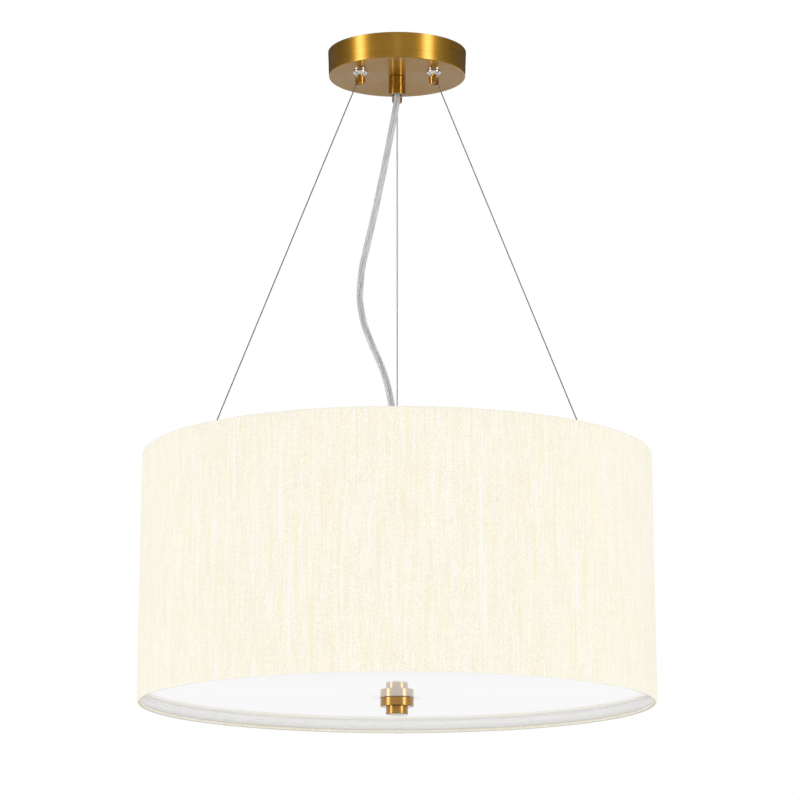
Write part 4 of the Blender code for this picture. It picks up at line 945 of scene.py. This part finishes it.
def make_lamps():
    """Three lampholders laid out round the hub, with their lamps' opal globes."""
    back, mouth, skirt = 0.0333, 0.0833, 0.0613
    shell = finely(filleted([
        (0, 0.0533), (0.0137, 0.0533), (0.0137, mouth, 0.0004), (0.0195, mouth, 0.0015),
        (0.0195, skirt, 0.0006), (0.0183, skirt, 0.0003), (0.0165, back, 0.0015), (0.005, back),
        (0.005, back - 0.007), (0, back - 0.007),
    ]), 0.0012)

    def ribbed(turns, r, z):
        """Forty low ribs round the skirt, which run out at both ends."""
        along = np.clip(np.minimum(z - skirt - 0.002, mouth - 0.003 - z) / 0.001, 0, 1)
        ribs = 0.00035 * (0.5 - 0.5 * np.cos(math.tau * 40 * turns))
        return np.where(r > 0.019, r - ribs * along, r), z

    neck, radius, foot, length = 0.014, 0.03, mouth + 0.0003, 0.084

    def globe_line(inset):
        """From the foot along the neck, which widens by a squared sine, to the round end."""
        centre = foot + length - 0.03
        rise = np.linspace(0, 1, 20, endpoint=False)
        widening = neck - inset + (radius - neck) * np.sin(rise * math.pi / 2) ** 2
        throat = np.column_stack([widening, foot + 0.012 + rise * (centre - foot - 0.012)])
        turn = np.linspace(0, math.pi / 2, 18)
        reach = radius - inset
        dome = np.column_stack([reach * np.cos(turn), centre + reach * np.sin(turn)])
        return np.vstack([[(neck - inset, foot)], throat, dome])

    globe = np.vstack([globe_line(0)[::-1], globe_line(0.0015)])
    for name, azimuth in HOLDER_PLACES.items():
        place, turn = (0, 0, HOLDER_HEIGHT), (math.pi / 2, 0, math.radians(azimuth))
        holder = revolve(f"lampholder_shell_{name}", shell, 160, ribbed, place, turn)
        dress(holder, WHITE_PLASTIC, "white_plastic", "shade_unit", "lampholder_" + name)
        bulb = revolve(f"opal_globe_{name}", globe, ROUND, None, place, turn, 50.0)
        dress(bulb, OPAL_GLASS, "opal_globe", "bulb_" + name, "bulb_globe_" + name)
        kept("bulb_cap_" + name, CAP_METAL)


def make_stem():
    """The threaded stem, its nuts and the washer that the diffuser is pushed up to."""
    low, high = heights("stem_rod")
    line = finely(filleted([(0, high), (0.005, high, 0.0008), (0.005, low, 0.0008), (0, low)]), 0.0003)
    stem = revolve("threaded_stem", line, 32, thread(low, high, 0.0015, 0.0006, 0.0049), sharp=50.0)
    dress(stem, TURNED_STEEL, "steel", "shade_unit", "stem_rod")
    for node in ("stem_nut_upper", "stem_nut_lower", "diffuser_stop_nut"):
        make_nut(f"{node}_hex", node, 0.0092, 0.0053, "shade_unit")
    low, high = heights("diffuser_stop_washer")
    line = filleted([
        (0.014, high, 0.0004), (0.014, low, 0.0002), (0.0053, low), (0.0053, high, 0.0002),
    ], closed=True)
    dress(revolve("stop_washer", line), TURNED_STEEL, "steel", "shade_unit", "diffuser_stop_washer")


def make_diffuser():
    """The opal disc: flat to the washer, then rising with the square of the distance to its edge."""
    under, thick, washer, edge, dish, ease = -0.6505, 0.003, 0.014, 0.244, 0.0024, 0.0008
    radii = np.linspace(washer, edge, 30)
    rise = dish * ((radii - washer) / (edge - washer)) ** 2
    arc = np.linspace(-math.pi / 2, 0, 5)
    lower = np.column_stack([radii[:-1], under + rise[:-1]])
    rim_low = np.column_stack([
        edge - ease + ease * np.cos(arc), under + dish + ease + ease * np.sin(arc),
    ])
    rim_high = rim_low[::-1] * [1, -1] + [0, 2 * (under + dish) + thick]
    upper = lower[::-1] + [0, thick]
    bore = [(0.0053, under), (0.0053, under + thick)]
    line = np.vstack([bore[:1], lower, rim_low, rim_high, upper, bore[::-1]])
    disc = revolve("opal_diffuser", line, 256, None, sharp=40.0)
    dress(disc, OPAL_ACRYLIC, "opal_acrylic", "diffuser_unit", "diffuser")


def make_finial():
    """The two-step brass knob that clamps the diffuser."""
    line = filleted([
        (0, -0.6623), (0.0053, -0.6623), (0.0053, -0.6508, 0.0002), (0.0163, -0.6508, 0.0003),
        (0.0163, -0.6591, 0.0006), (0.0108, -0.6591, 0.0002), (0.0108, -0.6666, 0.0006), (0, -0.6666),
    ], steps=6)
    dress(revolve("brass_finial", line, 128), KNOB_BRASS, "satin_brass", "finial", "finial")


def make_light():
    """White surroundings and two soft strip lights. Metal and gloss see the surroundings darker above
    and steeply below, brighter at the zenith, with a pale window in front and both strips as tall
    bright lines, brightest in their lower part, which the knob shows."""
    world = bpy.data.worlds.new("studio")
    bpy.context.scene.world = world
    world.cycles.sampling_method = "NONE"
    g = Graph(world)
    x, y, z = g.spot("Generated")
    front = g.step(y * -1.0, -0.35, 0.45)
    high = 0.04 + front * 0.18
    above = high + (0.35 + front * 0.35 - high) * g.step(z, 0.27, 0.03) + g.step(z, 0.6, 0.95) * 0.5
    below = 0.26 + 0.68 * g.step(z, -0.27, -0.13)
    aside = g.step(g.math("ABSOLUTE", x), 0.13, 0.05)
    window = aside * g.step(y * -1.0, 0.2, 0.6) * g.step(z, -0.02, 0.06)
    level = g.math("MAXIMUM", (x * x + y * y) ** 0.5, 0.001)
    glow = g.math("MAXIMUM", *(
        g.step((x * across + y * ahead) / level / math.hypot(across, ahead), 0.975, 0.9995)
        for across, ahead in STRIPS
    ))
    tall = g.step(z, -0.62, -0.35) * g.step(z, 0.62, 0.35)
    seen = below + (above - below) * g.step(z, -0.02, 0.05) + window * 0.2
    seen = seen + glow * tall * (1.5 + g.step(z, 0.13, -0.1) * 5.0)
    camera, glossy, clear = g.rays("Is Camera Ray", "Is Glossy Ray", "Is Transmission Ray")
    soft = 1.02 - g.step(z, -0.1, 0.1) * 0.12
    given = soft + (seen - soft) * glossy
    shown_white = g.math("MAXIMUM", camera, clear)
    strength = given + (1.0 - given) * shown_white
    background = g.node("ShaderNodeBackground", (), {"Color": (1.0, 1.0, 1.0), "Strength": strength})
    g.node("ShaderNodeOutputWorld", (), {"Surface": background})
    for place in STRIPS:
        light = bpy.data.lights.new("strip", "AREA")
        light.shape = "RECTANGLE"
        light.size, light.size_y = 0.45, 3.1
        light.energy = 7.6
        strip = linked("strip", light)
        strip.location = (*place, STRIP_HEIGHT)
        aim = Vector((0, 0, STRIP_HEIGHT)) - strip.location
        strip.rotation_euler = aim.to_track_quat("-Z", "Y").to_euler()
        strip.visible_camera = False


def make_floor():
    """A pale round floor that the camera sees go over to plain white away from the lamp. Diffuse rays
    see it lit, and metal sees it dim below the lamp, a painted shade, and grey further out."""
    grid, uv = revolved([(0, FLOOR_HEIGHT), (FLOOR_RADIUS, FLOOR_HEIGHT)], ROUND)
    floor = made("floor", grid, uv)
    g = finish("pale_floor")
    x, y, _ = g.spot()
    distance = (x * x + y * y) ** 0.5
    plain = g.node("ShaderNodeBsdfDiffuse", (), {"Color": (0.95, 0.95, 0.95)})
    white, grey, dim, lit = (
        g.node("ShaderNodeEmission", (), {"Color": (1.0, 1.0, 1.0), "Strength": strength})
        for strength in (1.0, 0.6, 0.12, 1.02)
    )
    camera, soft, glossy = g.rays("Is Camera Ray", "Is Diffuse Ray", "Is Glossy Ray")
    shadowed = g.node("ShaderNodeMixShader", (), (g.step(distance, 2.2, 6.5) * camera, plain, white))
    faded = g.node("ShaderNodeMixShader", (), (soft, shadowed, lit))
    # Painted shade for glossy rays: the floor's emission is dim under the lamp and grey further out
    mirrored = g.node("ShaderNodeMixShader", (), (g.step(distance + y * 0.3, 1.75, 5.1), dim, grey))
    surface = g.node("ShaderNodeMixShader", (), (glossy, faded, mirrored))
    g.node("ShaderNodeOutputMaterial", (), {"Surface": surface})
    g.owner.cycles.emission_sampling = "NONE"
    floor.data.materials.append(g.owner)


make_camera()
make_cord()
make_wires()
make_canopy()
make_canopy_screws()
make_cord_grip()
make_grippers()
make_ceiling_fittings()
make_shade()
make_carrier()
make_lamps()
make_stem()
make_diffuser()
make_finial()
make_light()
make_floor()
bpy.context.scene.view_settings.view_transform = "Standard"
